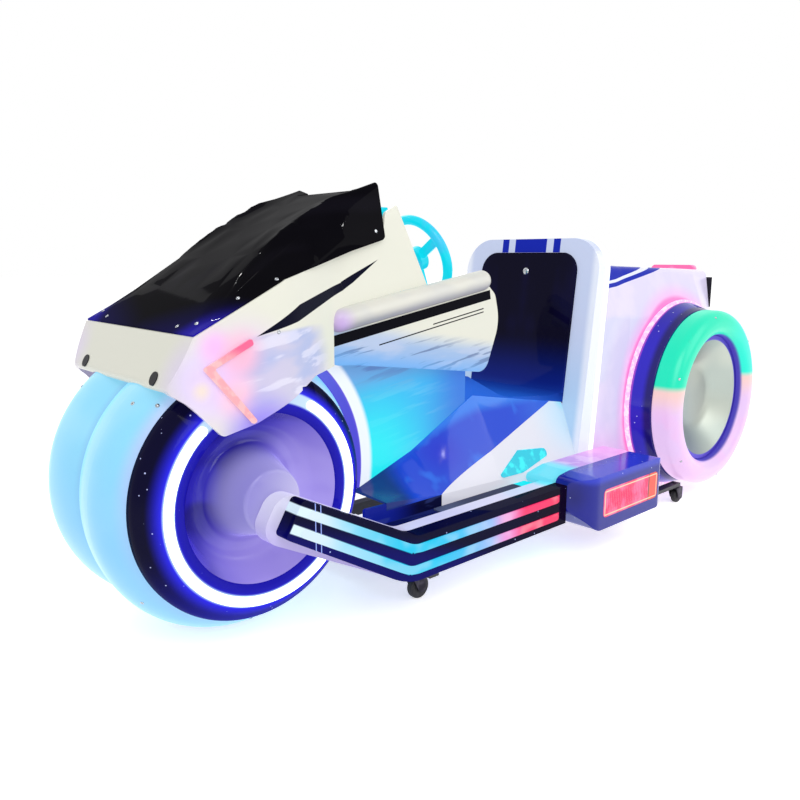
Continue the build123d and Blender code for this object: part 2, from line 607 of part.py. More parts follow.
def bumper_leds():
    """Two raised light strips with round ends along each bumper."""
    (x1, z1), (x0, z0) = BAR_FRONT, BAR_KINK
    fall = math.atan2(z1 - z0, x1 - x0)
    band = bumper_band(-0.3, -0.3 - STRIP_H)
    strips = None
    for side in (-1, 1):
        offset = side * STRIP_OFFSET
        front_offset = offset * BAR_H_FRONT / BAR_H
        nx, nz = -math.sin(fall), math.cos(fall)
        start = (x1 - 26 * math.cos(fall) + nx * front_offset, z1 - 26 * math.sin(fall) + nz * front_offset)
        kink = (x0 - math.tan(fall / 2) * offset, z0 + offset)
        end = (85.0, z0 + offset)
        half = STRIP_W / 2
        strip = side_prism([
            (end[0], end[1] - half, half - 0.1), (kink[0] + math.tan(fall / 2) * half, kink[1] - half, 110),
            (start[0] - nx * half, start[1] - nz * half, half - 0.1),
            (start[0] + nx * half, start[1] + nz * half, half - 0.1),
            (kink[0] - math.tan(fall / 2) * half, kink[1] + half, 90),
            (end[0], end[1] + half, half - 0.1)], 0, WIDE) & band
        strips = strip if strips is None else strips + strip
    return pair(strips)


def light_boxes():
    y0, y1 = BAR_OUT - BAR_WALL, BOX_OUT
    block = side_prism([(POD_REAR, POD_BOTTOM, 38), (POD_FRONT - 60, POD_BOTTOM, 60),
                        (POD_FRONT, BAR_KINK[1] - 20, 40), (POD_FRONT, POD_TOP - 8, 24),
                        (POD_FRONT - 60, POD_TOP, 60), (POD_REAR, POD_TOP, 38)], y0, y1)
    taper = plan_prism([(POD_REAR, y0, 0), (POD_REAR, y1, 30), (POD_FRONT - 35, y1, 60),
                        (POD_FRONT, BAR_OUT - 2, 0), (POD_FRONT, y0, 0)], 0, TALL)
    recess = lens_outline(y1 - 4, y1 + 5, 0)
    return pair((block & taper) - recess)


def lens_outline(y0, y1, inset):
    x0, x1 = POD_REAR + 34 + inset, POD_FRONT - 88 - inset
    z0, z1 = POD_BOTTOM + 33 + inset, POD_TOP - 40 - inset
    return side_prism([(x0, z0, 14), (x1, z0, 14), (x1, z1, 14), (x0, z1, 14)], y0, y1)


def box_lenses():
    return pair(lens_outline(BOX_OUT - 4 + REST, BOX_OUT + 2, SEAM))


# ----------------------------------------------------------------------- seat
def seat_arch_face(out_half, top, radius, floor):
    return [(out_half, floor, 0), (out_half, top, radius), (-out_half, top, radius), (-out_half, floor, 0)]


def lean_x(line, z):
    """Where a leaning line given by two (x, z) points stands at height z."""
    (x0, z0), (x1, z1) = line
    return x0 + (z - z0) / (z1 - z0) * (x1 - x0)


def slab(front, front_shift, back, back_shift):
    """Slab between two leaning lines, each shifted along x."""
    low, high = -50, TALL
    return side_prism([(lean_x(front, high) + front_shift, high, 0), (lean_x(front, low) + front_shift, low, 0),
                       (lean_x(back, low) + back_shift, low, 0), (lean_x(back, high) + back_shift, high, 0)],
                      -WIDE, WIDE)


def seat_rim():
    outer = cross_prism(seat_arch_face(BODY_HALF, ARCH_TOP, ARCH_OUT_R, FLOOR_Z), ARCH_REACH, 0)
    inner = cross_prism(seat_arch_face(ARCH_IN_HALF, ARCH_IN_TOP, ARCH_IN_R, 0), ARCH_REACH - 10, 10)
    return (outer - inner) & slab(ARCH_FRONT, 0, ARCH_BACK, TRIM_DEPTH + SEAM)


def seat_shell():
    """Backrest and saddle in one moulding."""
    half = ARCH_IN_HALF - SEAM
    foot = shoulder_height(SADDLE_REAR) + 30
    back = cross_prism(seat_arch_face(half, ARCH_IN_TOP - SEAM, ARCH_IN_R, foot), ARCH_REACH, 0)
    back &= slab(ARCH_FRONT, PAD_PROUD, ARCH_FRONT, PAD_PROUD - PAD_THICK)
    rear_x, front_x, (crest_x, _, crest_y, crest_z) = -224.0, TUNNEL_REAR - SEAM, BODY_SECTIONS[1]
    cushion = side_prism([(rear_x, shoulder_height(rear_x) + SEAM, 0), (crest_x, crest_z + SEAM, 0),
                          (front_x, shoulder_height(front_x) + SEAM, 0),
                          (front_x, tank_underside(front_x) - 12, 8), (40, foot + 14, 160),
                          (rear_x + 60, foot - 4, 40), (rear_x, foot + 6, 0)], -200, 200)
    edge = crest_y - 2
    taper = plan_prism([(rear_x - 5, ARCH_IN_HALF - 8, 0), (rear_x - 5, 8 - ARCH_IN_HALF, 0), (crest_x, -edge, 0),
                        (front_x + 5, -edge, 0), (front_x + 5, edge, 0), (crest_x, edge, 0)], 300, 600)
    return back + (cushion & taper)


def seat_led_trim():
    band = cross_prism(seat_arch_face(BODY_HALF + 1, ARCH_TOP + 1, ARCH_OUT_R + 1, POD_TOP + SEAM), ARCH_REACH, 0)
    hole = cross_prism(seat_arch_face(BODY_HALF - 9, ARCH_TOP - 9, ARCH_OUT_R - 9, 0), ARCH_REACH - 10, 10)
    return (band - hole) & slab(ARCH_BACK, TRIM_DEPTH, ARCH_BACK, 0)


# ------------------------------------------------------------------ rear body
def rear_loft(inset):
    faces = []
    last = len(REAR_SECTIONS) - 1
    for index, (x, floor, half, shoulder, top_half, top) in enumerate(REAR_SECTIONS):
        if inset:
            x += -inset if index == 0 else inset if index == last else 0.0
            floor -= 150.0
        faces.append(cross_face(x, symmetric([
            (half - inset, floor, 0), (half - inset, shoulder - inset, 60),
            (top_half - inset, top - inset, 30)])))
    return loft(faces, ruled=True)


def rear_body():
    return rear_loft(0) - rear_loft(SHELL) - slab(ARCH_BACK, 200, ARCH_BACK, -SEAM)


def rear_fender_rings():
    """Blue flared rings that carry the lit rings, on a plain drum."""
    seat_y = REAR_HALF + SEAM
    lamp_r = FENDER_R0 - 7
    body = turned([
        (seat_y, lamp_r, 0), (FENDER_Y0, lamp_r, 0), (FENDER_Y0, FENDER_R0, 3), (FENDER_Y1, FENDER_R1, 3),
        (FENDER_Y1, DISH_R + 1, 0), (FENDER_Y1 - 30, DISH_R + 1, 0), (FENDER_Y1 - 30, 60, 0), (seat_y, 60, 0)],
        REAR_X, REAR_Z)
    return pair(body)


def rear_lit_rings():
    y0 = FENDER_Y1 + REST
    inner, outer = LIT_RING_R - LIT_TUBE_R, LIT_RING_R + LIT_TUBE_R
    depth = 2 * LIT_TUBE_R
    return pair(turned([(y0, inner, 10), (y0 + depth, inner, 34), (y0 + depth, outer, 38), (y0, outer, 10)],
                       REAR_X, REAR_Z))


def rear_led_rings():
    y0, y1 = REAR_HALF + SEAM + 1, FENDER_Y0 - SEAM
    inner = FENDER_R0 - 7 + SEAM
    return pair(turned([(y0, inner, 0), (y1, inner, 0), (y1, inner + 14, 4), (y0, inner + 14, 4)],
                       REAR_X, REAR_Z))


def rear_hub_dishes():
    """Bright dished hubs with a lip inside the lit rings."""
    y_lip, seat = FENDER_Y1 + 46, FENDER_Y1 + SEAM
    rim = LIT_RING_R - LIT_TUBE_R - SEAM
    deep = FENDER_Y1 - 30 + SEAM
    return pair(turned([
        (seat, DISH_R - 4, 0), (seat, rim, 0), (y_lip, rim, 3), (y_lip, DISH_R, 3), (deep + 20, 110, 70),
        (deep + 20, 0, 0), (deep, 0, 0), (deep, 110, 60)], REAR_X, REAR_Z))


def tail_lamp():
    last = REAR_SECTIONS[-1]
    x, top = last[0], last[5]
    return cross_prism(symmetric([(88, top - 24, 6), (88, top + 18, 16)]), x - 30, x - SEAM)


def rear_bar():
    """Black rubbing bar round the tail."""
    last = REAR_SECTIONS[-1]
    x = last[0] - SEAM
    inner = last[2] - 2
    outer = inner - 18
    return plan_prism([(x - 34, -outer, 30), (x - 34, outer, 30), (x, inner, 0), (x, -inner, 0)],
                      last[5] - 140, last[5] - 28)


# ------------------------------------------------------------------- steering
def steering_plane():
    tilt = math.radians(STEER_TILT)
    return Plane(origin=(STEER_X, 0, STEER_Z), x_dir=(0, 1, 0), z_dir=(-math.cos(tilt), 0, math.sin(tilt)))


def steering_wheel():
    plane = steering_plane()
    ring = plane * Torus(STEER_R, STEER_TUBE)
    hub = plane * (Pos(0, 0, -4) * Cylinder(34, 26))
    wheel = ring + hub
    for turn in (90, 210, 330):
        spoke = Rot(0, 0, turn) * (Pos(STEER_R / 2 + 6, 0, -2) * Box(STEER_R - 24, 26, 8))
        wheel += plane * spoke
    return wheel


def steering_column():
    tilt = math.radians(STEER_TILT)
    along = Vector(math.cos(tilt), 0, -math.sin(tilt))
    start = Vector(STEER_X, 0, STEER_Z) + along * 17.4
    end = start + along * 330
    return rod(tuple(start), tuple(end), COLUMN_R)


# ----------------------------------------------------------------- drive unit
def drive_fork():
    leg_y, leg_t = 38.0, 8.0
    crown_z = DRIVE_R * 2 + 12
    crown = Pos(FRONT_X, 0, crown_z + 7) * Box(64, 2 * (leg_y + leg_t), 14)
    fork = crown
    for side in (-1, 1):
        leg = side_prism([(FRONT_X - 24, DRIVE_R - 24, 22), (FRONT_X + 24, DRIVE_R - 24, 22),
                          (FRONT_X + 30, crown_z + 10, 0), (FRONT_X - 30, crown_z + 10, 0)],
                         leg_y, leg_y + leg_t)
        fork += leg if side > 0 else mirror(leg, about=Plane.XZ)
    fork += rod((FRONT_X, -leg_y - 1, DRIVE_R), (FRONT_X, leg_y + 1, DRIVE_R), DRIVE_AXLE_R)
    collar_z = HEAD_Z0 - THRUST
    fork += rod((FRONT_X, 0, crown_z + 10), (FRONT_X, 0, collar_z), HEAD_R - 4)
    fork += rod((FRONT_X, 0, collar_z - 1), (FRONT_X, 0, HEAD_Z1 + 22), STEM_R)
    return fork


def drive_hub():
    return turned([(-25, DRIVE_AXLE_R + RUNNING, 0), (25, DRIVE_AXLE_R + RUNNING, 0), (25, DRIVE_HUB_R, 4),
                   (-25, DRIVE_HUB_R, 4)], FRONT_X, DRIVE_R)


def drive_tyre():
    half = DRIVE_WIDE / 2
    return turned([(-half + 4, DRIVE_HUB_R + 0.2, 0), (half - 4, DRIVE_HUB_R + 0.2, 0), (half, DRIVE_R - 12, 8),
                   (half - 6, DRIVE_R, 10), (-half + 6, DRIVE_R, 10), (-half, DRIVE_R - 12, 8)],
                  FRONT_X, DRIVE_R)


# -------------------------------------------------------------------- castors
def castor_fork(castor, side, plate_z, plate_h):
    """Swivel fork that trails rearward, with its stem and axle pin."""
    x, y, radius, width, trail = castor
    y *= side
    half = width / 2 + 4
    crown = 2 * radius + 3
    wheel_x = x - trail
    fork = box(wheel_x - 10, x + 12, y - half - 3, y + half + 3, crown, crown + 4)
    for leg_side in (-1, 1):
        inner, outer = sorted((y + leg_side * half, y + leg_side * (half + 3)))
        fork += side_prism([(wheel_x - 10, radius - 10, 8), (wheel_x + 10, radius - 10, 8),
                            (x + 12, crown + 2, 0), (wheel_x - 10, crown + 2, 0)], inner, outer)
    fork += rod((wheel_x, y - half - 1, radius), (wheel_x, y + half + 1, radius), CASTOR_AXLE_R)
    fork += rod((x, y, crown + 3), (x, y, plate_z - THRUST), 11)
    fork += rod((x, y, plate_z - THRUST - 1), (x, y, plate_z + plate_h + 3), CASTOR_STEM_R)
    return fork


def castor_wheel(castor, side):
    x, y, radius, width, trail = castor
    half = width / 2
    wheel = turned([(-half, CASTOR_AXLE_R + RUNNING, 0), (half, CASTOR_AXLE_R + RUNNING, 0),
                    (half, radius - 9, 4), (half - 2, radius, 6), (-half + 2, radius, 6),
                    (-half, radius - 9, 4)], x - trail, radius)
    return Pos(0, side * y, 0) * wheel


# ---------------------------------------------------------------------- frame
def chassis_frame():
    top = RAIL_Z + RAIL_H
    frame = None
    for side in (-1, 1):
        y0 = side * RAIL_Y - RAIL_W / 2
        rail = box(FRAME_REAR, FRAME_FRONT, y0, y0 + RAIL_W, RAIL_Z, top)
        rail += box(JACK_X - JACK_LONG / 2, JACK_X + JACK_LONG / 2, y0, y0 + RAIL_W, RAIL_Z - JACK_THICK, RAIL_Z)
        frame = rail if frame is None else frame + rail
    for x in (FRAME_FRONT - RAIL_W / 2, 120.0, BATTERY_X + 200, BATTERY_X - 200, FRAME_REAR + RAIL_W / 2):
        frame += box(x - RAIL_W / 2, x + RAIL_W / 2, -RAIL_Y, RAIL_Y, RAIL_Z, top)
    reach = BAR_OUT - BAR_WALL - 12
    for x in (FRONT_CASTOR[0], ARM_X):
        frame += box(x - RAIL_W / 2, x + RAIL_W / 2, -reach, reach, RAIL_Z, top)
    frame += box(POST_X - 20, POST_X + 20, -RAIL_Y, RAIL_Y, RAIL_Z, top)
    beam = GOOSENECK_W / 2
    frame += box(POST_X - 20, POST_X + 20, -beam, beam, RAIL_Z, GOOSENECK_Z + GOOSENECK_H)
    frame += box(POST_X - 20, FRONT_X, -beam, beam, GOOSENECK_Z, GOOSENECK_Z + GOOSENECK_H)
    frame += rod((FRONT_X, 0, HEAD_Z0), (FRONT_X, 0, HEAD_Z1), HEAD_R)
    frame -= rod((FRONT_X, 0, HEAD_Z0 - 5), (FRONT_X, 0, HEAD_Z1 + 5), STEM_R + RUNNING)
    frame += pair(rear_arm())
    for side in (-1, 1):
        x, y = FRONT_CASTOR[0], side * FRONT_CASTOR[1]
        frame -= rod((x, y, RAIL_Z - 5), (x, y, top + 5), CASTOR_STEM_R + RUNNING)
        x, y = REAR_CASTOR[0], side * REAR_CASTOR[1]
        frame -= rod((x, y, REAR_ARM_Z - 5), (x, y, REAR_ARM_Z + REAR_ARM_H + 5), CASTOR_STEM_R + RUNNING)
        x, y = FRAME_REAR + RAIL_W / 2, side * TOW_HOLE_Y
        frame -= rod((x, y, RAIL_Z - 5), (x, y, top + 5), TOW_HOLE_R)
        frame -= rod((ARM_X, side * BELT_HOLE_Y, RAIL_Z - 5), (ARM_X, side * BELT_HOLE_Y, top + 5), BELT_HOLE_R)
    return frame


def rear_arm():
    """Cranked flat bar that reaches back to a rear castor."""
    low, high = REAR_ARM_Z, REAR_ARM_Z + REAR_ARM_H
    end = REAR_CASTOR[0] - 16
    x0 = ARM_X - RAIL_W / 2
    return side_prism([(ARM_X + RAIL_W / 2, RAIL_Z, 0), (ARM_X + RAIL_W / 2, RAIL_Z + REAR_ARM_H, 0),
                       (x0, RAIL_Z + REAR_ARM_H, 0), (x0 - 120, high, 0), (end, high, 0), (end, low, 0),
                       (x0 - 120, low, 0), (x0, RAIL_Z, 0)], REAR_CASTOR[1] - 14, REAR_CASTOR[1] + 14)


def battery_block():
    length, width, height = BATTERY
    z0 = RAIL_Z + RAIL_H + REST
    return box(BATTERY_X - length / 2, BATTERY_X + length / 2, -width / 2, width / 2, z0, z0 + height)


# ----------------------------------------------------------------------- build
os.makedirs("parts", exist_ok=True)

skirts, saddle = lower_body()
NODES = {
    "chassis_frame": chassis_frame(),
    "battery_block": battery_block(),
    "front_tyre_shell": front_tyre_shell(),
    "front_side_rings": front_side_rings(),
    "front_led_rings": front_led_rings(),
    "front_dishes": front_dishes(),
    "cowl": cowl(),
    "hood": hood(),
    "dash_panel": dash_panel(),
    "chevron_leds": chevron_leds(),
    "nose_plugs": nose_plugs(),
    "tank_shell": tank_shell(),
    "knee_rolls": knee_rolls(),
    "tunnel": tunnel(),
    "side_skirts": skirts,
    "saddle_body": saddle,
    "sill_risers": sill_risers(),
    "decks": decks(),
    "step_pads": step_pads(),
    "skirt_lenses": skirt_lenses(),
    "bumper_bars": bumper_bars(),
    "bumper_bases": bumper_bases(),
    "bumper_leds": bumper_leds(),
    "light_boxes": light_boxes(),
    "box_lenses": box_lenses(),
    "seat_rim": seat_rim(),
    "seat_shell": seat_shell(),
    "seat_led_trim": seat_led_trim(),
    "rear_body": rear_body(),
    "rear_fender_rings": rear_fender_rings(),
    "rear_lit_rings": rear_lit_rings(),
    "rear_led_rings": rear_led_rings(),
    "rear_hub_dishes": rear_hub_dishes(),
    "tail_lamp": tail_lamp(),
    "rear_bar": rear_bar(),
    "steering_wheel": steering_wheel(),
    "steering_column": steering_column(),
    "drive_fork": drive_fork(),
    "drive_hub": drive_hub(),
    "drive_tyre": drive_tyre(),
}
CASTORS = {
    "front": (FRONT_CASTOR, RAIL_Z, RAIL_H),
    "rear": (REAR_CASTOR, REAR_ARM_Z, REAR_ARM_H),
}
for place, (castor, plate_z, plate_h) in CASTORS.items():
    for hand, side in (("left", 1), ("right", -1)):
        NODES[f"castor_fork_{place}_{hand}"] = castor_fork(castor, side, plate_z, plate_h)
        NODES[f"castor_wheel_{place}_{hand}"] = castor_wheel(castor, side)

for name, shape in NODES.items():
    write(name, shape)
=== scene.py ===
"""Dresses the bumper car's frame: finishes, lamps, screws, lens ribs and stage."""

import math

import bmesh
import bpy
from bpy.props import FloatProperty, FloatVectorProperty, PointerProperty
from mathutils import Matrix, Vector
from mathutils.bvhtree import BVHTree


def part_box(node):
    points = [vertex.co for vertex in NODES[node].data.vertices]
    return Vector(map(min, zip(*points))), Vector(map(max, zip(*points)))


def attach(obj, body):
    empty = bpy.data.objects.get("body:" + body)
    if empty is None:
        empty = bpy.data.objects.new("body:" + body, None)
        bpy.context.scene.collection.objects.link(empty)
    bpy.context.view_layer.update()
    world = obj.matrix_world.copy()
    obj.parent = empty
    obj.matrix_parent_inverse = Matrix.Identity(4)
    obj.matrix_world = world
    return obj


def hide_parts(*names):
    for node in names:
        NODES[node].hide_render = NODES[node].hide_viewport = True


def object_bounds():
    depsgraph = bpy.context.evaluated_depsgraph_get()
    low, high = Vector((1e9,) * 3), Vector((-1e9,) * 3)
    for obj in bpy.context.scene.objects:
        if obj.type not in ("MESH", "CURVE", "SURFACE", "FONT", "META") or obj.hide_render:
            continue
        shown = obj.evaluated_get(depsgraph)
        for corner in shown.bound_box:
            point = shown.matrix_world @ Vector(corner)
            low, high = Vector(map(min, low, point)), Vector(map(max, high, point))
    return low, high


bl_info = {
    "name": "Motorcycle Bumper Car",
    "version": (1, 0, 0),
    "blender": (4, 5, 0),
    "location": "View3D > Sidebar > Bumper Car",
    "description": "Finishes, lamps and small parts of a fairground bumper car",
    "category": "Object",
}

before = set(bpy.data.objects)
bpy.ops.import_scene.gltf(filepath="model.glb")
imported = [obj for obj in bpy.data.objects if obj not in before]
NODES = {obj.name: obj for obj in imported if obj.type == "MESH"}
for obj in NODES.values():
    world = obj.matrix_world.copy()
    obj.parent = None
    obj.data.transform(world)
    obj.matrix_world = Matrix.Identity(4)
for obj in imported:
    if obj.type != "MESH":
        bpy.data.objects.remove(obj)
CAR_LOW, CAR_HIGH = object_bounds()
MM = 0.001
BLACK = (0.0, 0.0, 0.0, 1.0)


def centre(node):
    """Middle of a frame node's box."""
    low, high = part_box(node)
    return (low + high) / 2


FRONT_AXLE = centre("front_side_rings")
REAR_AXLE = centre("rear_fender_rings")
FRONT_RING_R = (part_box("front_side_rings")[1].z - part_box("front_side_rings")[0].z) / 2
LIT_RING_R = (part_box("rear_lit_rings")[1].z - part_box("rear_lit_rings")[0].z) / 2
HALF_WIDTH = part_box("cowl")[1].y
SEAT_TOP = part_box("seat_rim")[1].z
LENS_LOW, LENS_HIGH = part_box("box_lenses")
AMBER_END = LENS_LOW.x + 0.18 * (LENS_HIGH.x - LENS_LOW.x)  # where the lens's amber cell stops

# Decals and lines on the mouldings, as (x, z) places on the car
BOLT_WEDGE = [(0.632, 0.757), (0.800, 0.701), (0.908, 0.678), (0.795, 0.735), (0.640, 0.774)]
BOLT_TIP = [(0.526, 0.824), (0.602, 0.773), (0.633, 0.757), (0.641, 0.775)]
ROLL_FRONT, ROLL_REAR = (0.643, 0.690), (0.168, 0.768)
TAIL_PANEL = [(-0.20, 0.722), (-0.20, 0.95), (-0.86, 0.95), (-0.80, 0.792), (-0.44, 0.738)]
TAIL_LINE_OUTER = [(-0.20, 0.733), (-0.20, 0.95), (-0.82, 0.95), (-0.75, 0.80), (-0.44, 0.751)]
TAIL_LINE_INNER = [(-0.20, 0.741), (-0.20, 0.95), (-0.79, 0.95), (-0.72, 0.806), (-0.44, 0.760)]
BUMPER_KINK, BUMPER_FRONT, BUMPER_REAR_X = (0.613, 0.175), (0.895, 0.328), 0.078

# Screws: (degrees round the front tyre, distance from its middle), and places on the cowl and hood
TYRE_SCREWS = ((44, 0.132), (48, 0.172), (150, 0.160), (205, 0.160), (270, 0.160), (322, 0.150))
COWL_SCREW = (0.857, 0.684)
HOOD_SIDE_SCREWS = ((0.932, 0.752), (0.851, 0.787), (0.538, 0.888))
HOOD_NOSE_SCREWS = ((1.028, 0.171), (1.015, 0.225))
RING_SCREW_ANGLES = range(20, 380, 60)

# Studio and camera
SOFT_LAMPS = (("key_lamp", (1.6, 2.6, 2.8), 2.4, 1.0), ("fill_lamp", (-1.6, 2.8, 2.2), 2.2, 0.5),
              ("back_lamp", (-0.5, -3.0, 2.6), 2.4, 0.5))
SPARK_SPOTS = ((1.1, 1.4, 2.3), (0.2, 1.9, 2.1), (-0.7, 1.6, 2.4), (0.9, -1.2, 2.3))
FLOOR_REACH = 30.0
EYE, EYE_YAW, EYE_PITCH, LENS = (1.690, 1.532, 0.832), math.radians(-132.324), math.radians(10.76), 34.09


def linear(code):
    """Linear colour of an sRGB hex code."""
    parts = [int(code[i:i + 2], 16) / 255 for i in (1, 3, 5)]
    return tuple(p / 12.92 if p <= 0.04045 else ((p + 0.055) / 1.055) ** 2.4 for p in parts)


def colour_of(name, description, code):
    """Colour property with its default as a hex code."""
    return FloatVectorProperty(name=name, description=description, subtype="COLOR", size=3,
                               min=0, max=1, default=linear(code))


# ------------------------------------------------------------------ properties
class CarColours(bpy.types.PropertyGroup):
    """Colours of the gel coats and lamps."""

    cream: colour_of("Cream", "Gel coat of nose, cowl and tank", "#dcdccf")
    white: colour_of("White", "Gel coat of the seat arch", "#c9d2ee")
    hood: colour_of("Hood", "Near-black gel coat of the hood", "#050409")
    navy: colour_of("Navy", "Dark gel coat of the bumpers", "#06062c")
    royal: colour_of("Royal blue", "Gel coat of the lamp boxes", "#141c8c")
    saddle: colour_of("Saddle blue", "Gel coat of the saddle", "#1b46cc")
    tyre: colour_of("Tyre", "Backlit moulding of the front tyre", "#90dcfb")
    cyan: colour_of("Cyan", "Cyan lamp light", "#12ecf4")
    # sky is painted light: the cyan lamp light on the white gel coat of the flank.
    sky: colour_of("Sky", "Flank under the tank", "#2ab4ee")
    # lavender is the painted lit side of the dishes; violet, below, their painted shaded side.
    lavender: colour_of("Lavender", "Pearl of the front dishes", "#a596e6")
    violet: colour_of("Violet", "Shaded side of the dishes", "#2a22b0")
    pink: colour_of("Pink", "Tail lamp light", "#ff6cb0")
    red: colour_of("Red", "Rear lens light", "#f2306a")
    mint: colour_of("Mint", "Upper half of the rear lit rings", "#06e8bc")
    blush: colour_of("Blush", "Lower half of the rear lit rings", "#e9c8f6")


class CarSizes(bpy.types.PropertyGroup):
    """Sizes of the pieces that this file adds."""

    screw_radius: FloatProperty(name="Screw radius", description="Radius of a dome screw's head",
                                default=4.5 * MM, min=1 * MM, unit="LENGTH")
    flake_spacing: FloatProperty(name="Flake spacing", description="Distance between specks of flake",
                                 default=13 * MM, min=2 * MM, unit="LENGTH")
    rib_pitch: FloatProperty(name="Rib pitch", description="Distance between the rear lens's ribs",
                             default=9 * MM, min=3 * MM, unit="LENGTH")
    pinstripe: FloatProperty(name="Pinstripe", description="Width of a pinstripe",
                             default=3 * MM, min=1 * MM, unit="LENGTH")


class CarLight(bpy.types.PropertyGroup):
    """Strengths of the car's lamps and of the studio's."""

    strip: FloatProperty(name="Light strip", description="Strength of the white light strips",
                         default=3.0, min=0)
    room: FloatProperty(name="Room light", description="Strength of the even light of the room",
                        default=0.62, min=0)
    key: FloatProperty(name="Key lamp", description="Power of the large soft lamp", default=60.0, min=0,
                       unit="POWER")
    spark: FloatProperty(name="Spark lamps", description="Power of each small lamp", default=5.0, min=0,
                         unit="POWER")


def colours():
    return bpy.context.scene.car_colours


def sizes():
    return bpy.context.scene.car_sizes


def light():
    return bpy.context.scene.car_light


# -------------------------------------------------------------- material tools
def add(kind, inputs=None, beside=None, **settings):
    """Adds a node where its inputs come from, or beside another, with its settings and inputs."""
    inputs = inputs or {}
    links = [value for value in inputs.values() if isinstance(value, bpy.types.NodeSocket)]
    tree = (beside or links[0]).id_data
    node = tree.nodes.new(kind)
    for name, value in settings.items():
        setattr(node, name, value)
    for name, value in inputs.items():
        if isinstance(value, bpy.types.NodeSocket):
            tree.links.new(value, node.inputs[name])
        else:
            node.inputs[name].default_value = value
    return node


def surface(name, **values):
    """New material with those constants on its shader: (material, shader)."""
    material = bpy.data.materials.new(name)
    material.use_nodes = True
    shader = material.node_tree.nodes["Principled BSDF"]
    for socket, value in values.items():
        shader.inputs[socket.replace("_", " ")].default_value = value
    return material, shader


def feed(shader, socket, value):
    """Links a value to a shader's socket."""
    shader.id_data.links.new(value, shader.inputs[socket])


def place(shader):
    """Where a point of the car lies, with the right side folded onto the left."""
    where = add("ShaderNodeTexCoord", beside=shader).outputs["Object"]
    parts = add("ShaderNodeSeparateXYZ", {"Vector": where}).outputs
    side = add("ShaderNodeMath", {0: parts["Y"]}, operation="ABSOLUTE").outputs[0]
    return add("ShaderNodeCombineXYZ", {"X": parts["X"], "Y": side, "Z": parts["Z"]}).outputs[0]


def beyond(where, point, way, soft=0.5 * MM):
    """Mask that is 1 past the plane through a point, square to way."""
    way = Vector(way).normalized()
    start = Vector(point).dot(way)
    along = add("ShaderNodeVectorMath", {0: where, 1: way}, operation="DOT_PRODUCT").outputs["Value"]
    return add("ShaderNodeMapRange", {"Value": along, "From Min": start - soft, "From Max": start + soft},
               interpolation_type="SMOOTHSTEP").outputs["Result"]


def near(where, point, reach, soft=None):
    """Mask that is 1 at a point and fades out at its reach."""
    away = add("ShaderNodeVectorMath", {0: where, 1: Vector(point)}, operation="DISTANCE").outputs["Value"]
    return add("ShaderNodeMapRange",
               {"Value": away, "From Min": reach, "From Max": reach - (soft or reach)},
               interpolation_type="SMOOTHSTEP").outputs["Result"]


def both(*masks):
    """Product of masks."""
    product = masks[0]
    for mask in masks[1:]:
        product = add("ShaderNodeMath", {0: product, 1: mask}, operation="MULTIPLY").outputs[0]
    return product


def outside(mask):
    """The rest of a mask."""
    return add("ShaderNodeMath", {0: 1.0, 1: mask}, operation="SUBTRACT").outputs[0]


def patch(where, corners, soft=0.6 * MM):
    """Mask of a convex outline of (x, z) corners, anticlockwise as seen from the right."""
    masks = []
    for (x0, z0), (x1, z1) in zip(corners, corners[1:] + corners[:1]):
        inward = (-(z1 - z0), 0, x1 - x0)
        masks.append(beyond(where, (x0, 0, z0), inward, soft))
    return both(*masks)


def stripe(where, start, end, half, soft=0.4 * MM):
    """Mask of a straight stripe between two (x, z) points."""
    run = Vector((end[0] - start[0], 0, end[1] - start[1])).normalized()
    across = Vector((-run.z, 0, run.x))
    point = Vector((start[0], 0, start[1]))
    return both(beyond(where, point, run, soft),
                beyond(where, (end[0], 0, end[1]), -run, soft),
                beyond(where, point - across * half, across, soft),
                beyond(where, point + across * half, -across, soft))


def off_axle(where, axle):
    """Distance of a point from an axle that runs across the car."""
    flat = add("ShaderNodeVectorMath", {0: where, 1: (1, 0, 1)}, operation="MULTIPLY").outputs[0]
    away = add("ShaderNodeVectorMath", {0: flat, 1: (axle.x, 0, axle.z)}, operation="DISTANCE")
    return away.outputs["Value"]


def rises(value, low, high):
    """Mask that goes from 0 to 1 as a value goes from low to high."""
    return add("ShaderNodeMapRange", {"Value": value, "From Min": low, "From Max": high},
               interpolation_type="SMOOTHSTEP").outputs["Result"]


def cloud(where, size, stretch=(1, 1, 1), detail=2.0):
    """Soft variation with patches of a given size."""
    moved = add("ShaderNodeMapping", {"Vector": where, "Scale": stretch}).outputs[0]
    return add("ShaderNodeTexNoise", {"Vector": moved, "Scale": 1 / size, "Detail": detail}).outputs[0]


def slanted(where):
    """Place turned so that streaks drawn along it fall a little towards the nose."""
    return add("ShaderNodeVectorRotate", {"Vector": where, "Angle": math.radians(-9)},
               rotation_type="Y_AXIS").outputs[0]


def paint(colour):
    """A socket as it is, or a hex code or triple as the value of a colour input."""
    if isinstance(colour, bpy.types.NodeSocket):
        return colour
    return (*(linear(colour) if isinstance(colour, str) else colour)[:3], 1)


def layered(colour, *layers):
    """A colour with (mask, colour) or (mask, colour, share) layers over it."""
    for mask, over, *share in layers:
        mask = both(mask, *share)
        colour = add("ShaderNodeMix", {0: mask, 6: paint(colour), 7: paint(over)},
                     data_type="RGBA").outputs[2]
    return colour


def mottled(where, size, low, high, dark, pale, detail=2.0):
    """A colour with paler clouds of a given size."""
    return layered(dark, (rises(cloud(where, size, detail=detail), low, high), pale))


def flake(where, share=0.3):
    """Mask of bright specks: metal flake, drawn far coarser than real flake so that it shows; the specks are
    painted bright, so they are also painted glints.
    """
    cells = add("ShaderNodeTexVoronoi", {"Vector": where, "Scale": 1 / sizes().flake_spacing}).outputs
    speck = rises(cells["Distance"], 0.16, 0.08)
    pick = add("ShaderNodeSeparateColor", {"Color": cells["Color"]}).outputs[0]
    return both(speck, rises(pick, 1 - share, 1.02 - share))


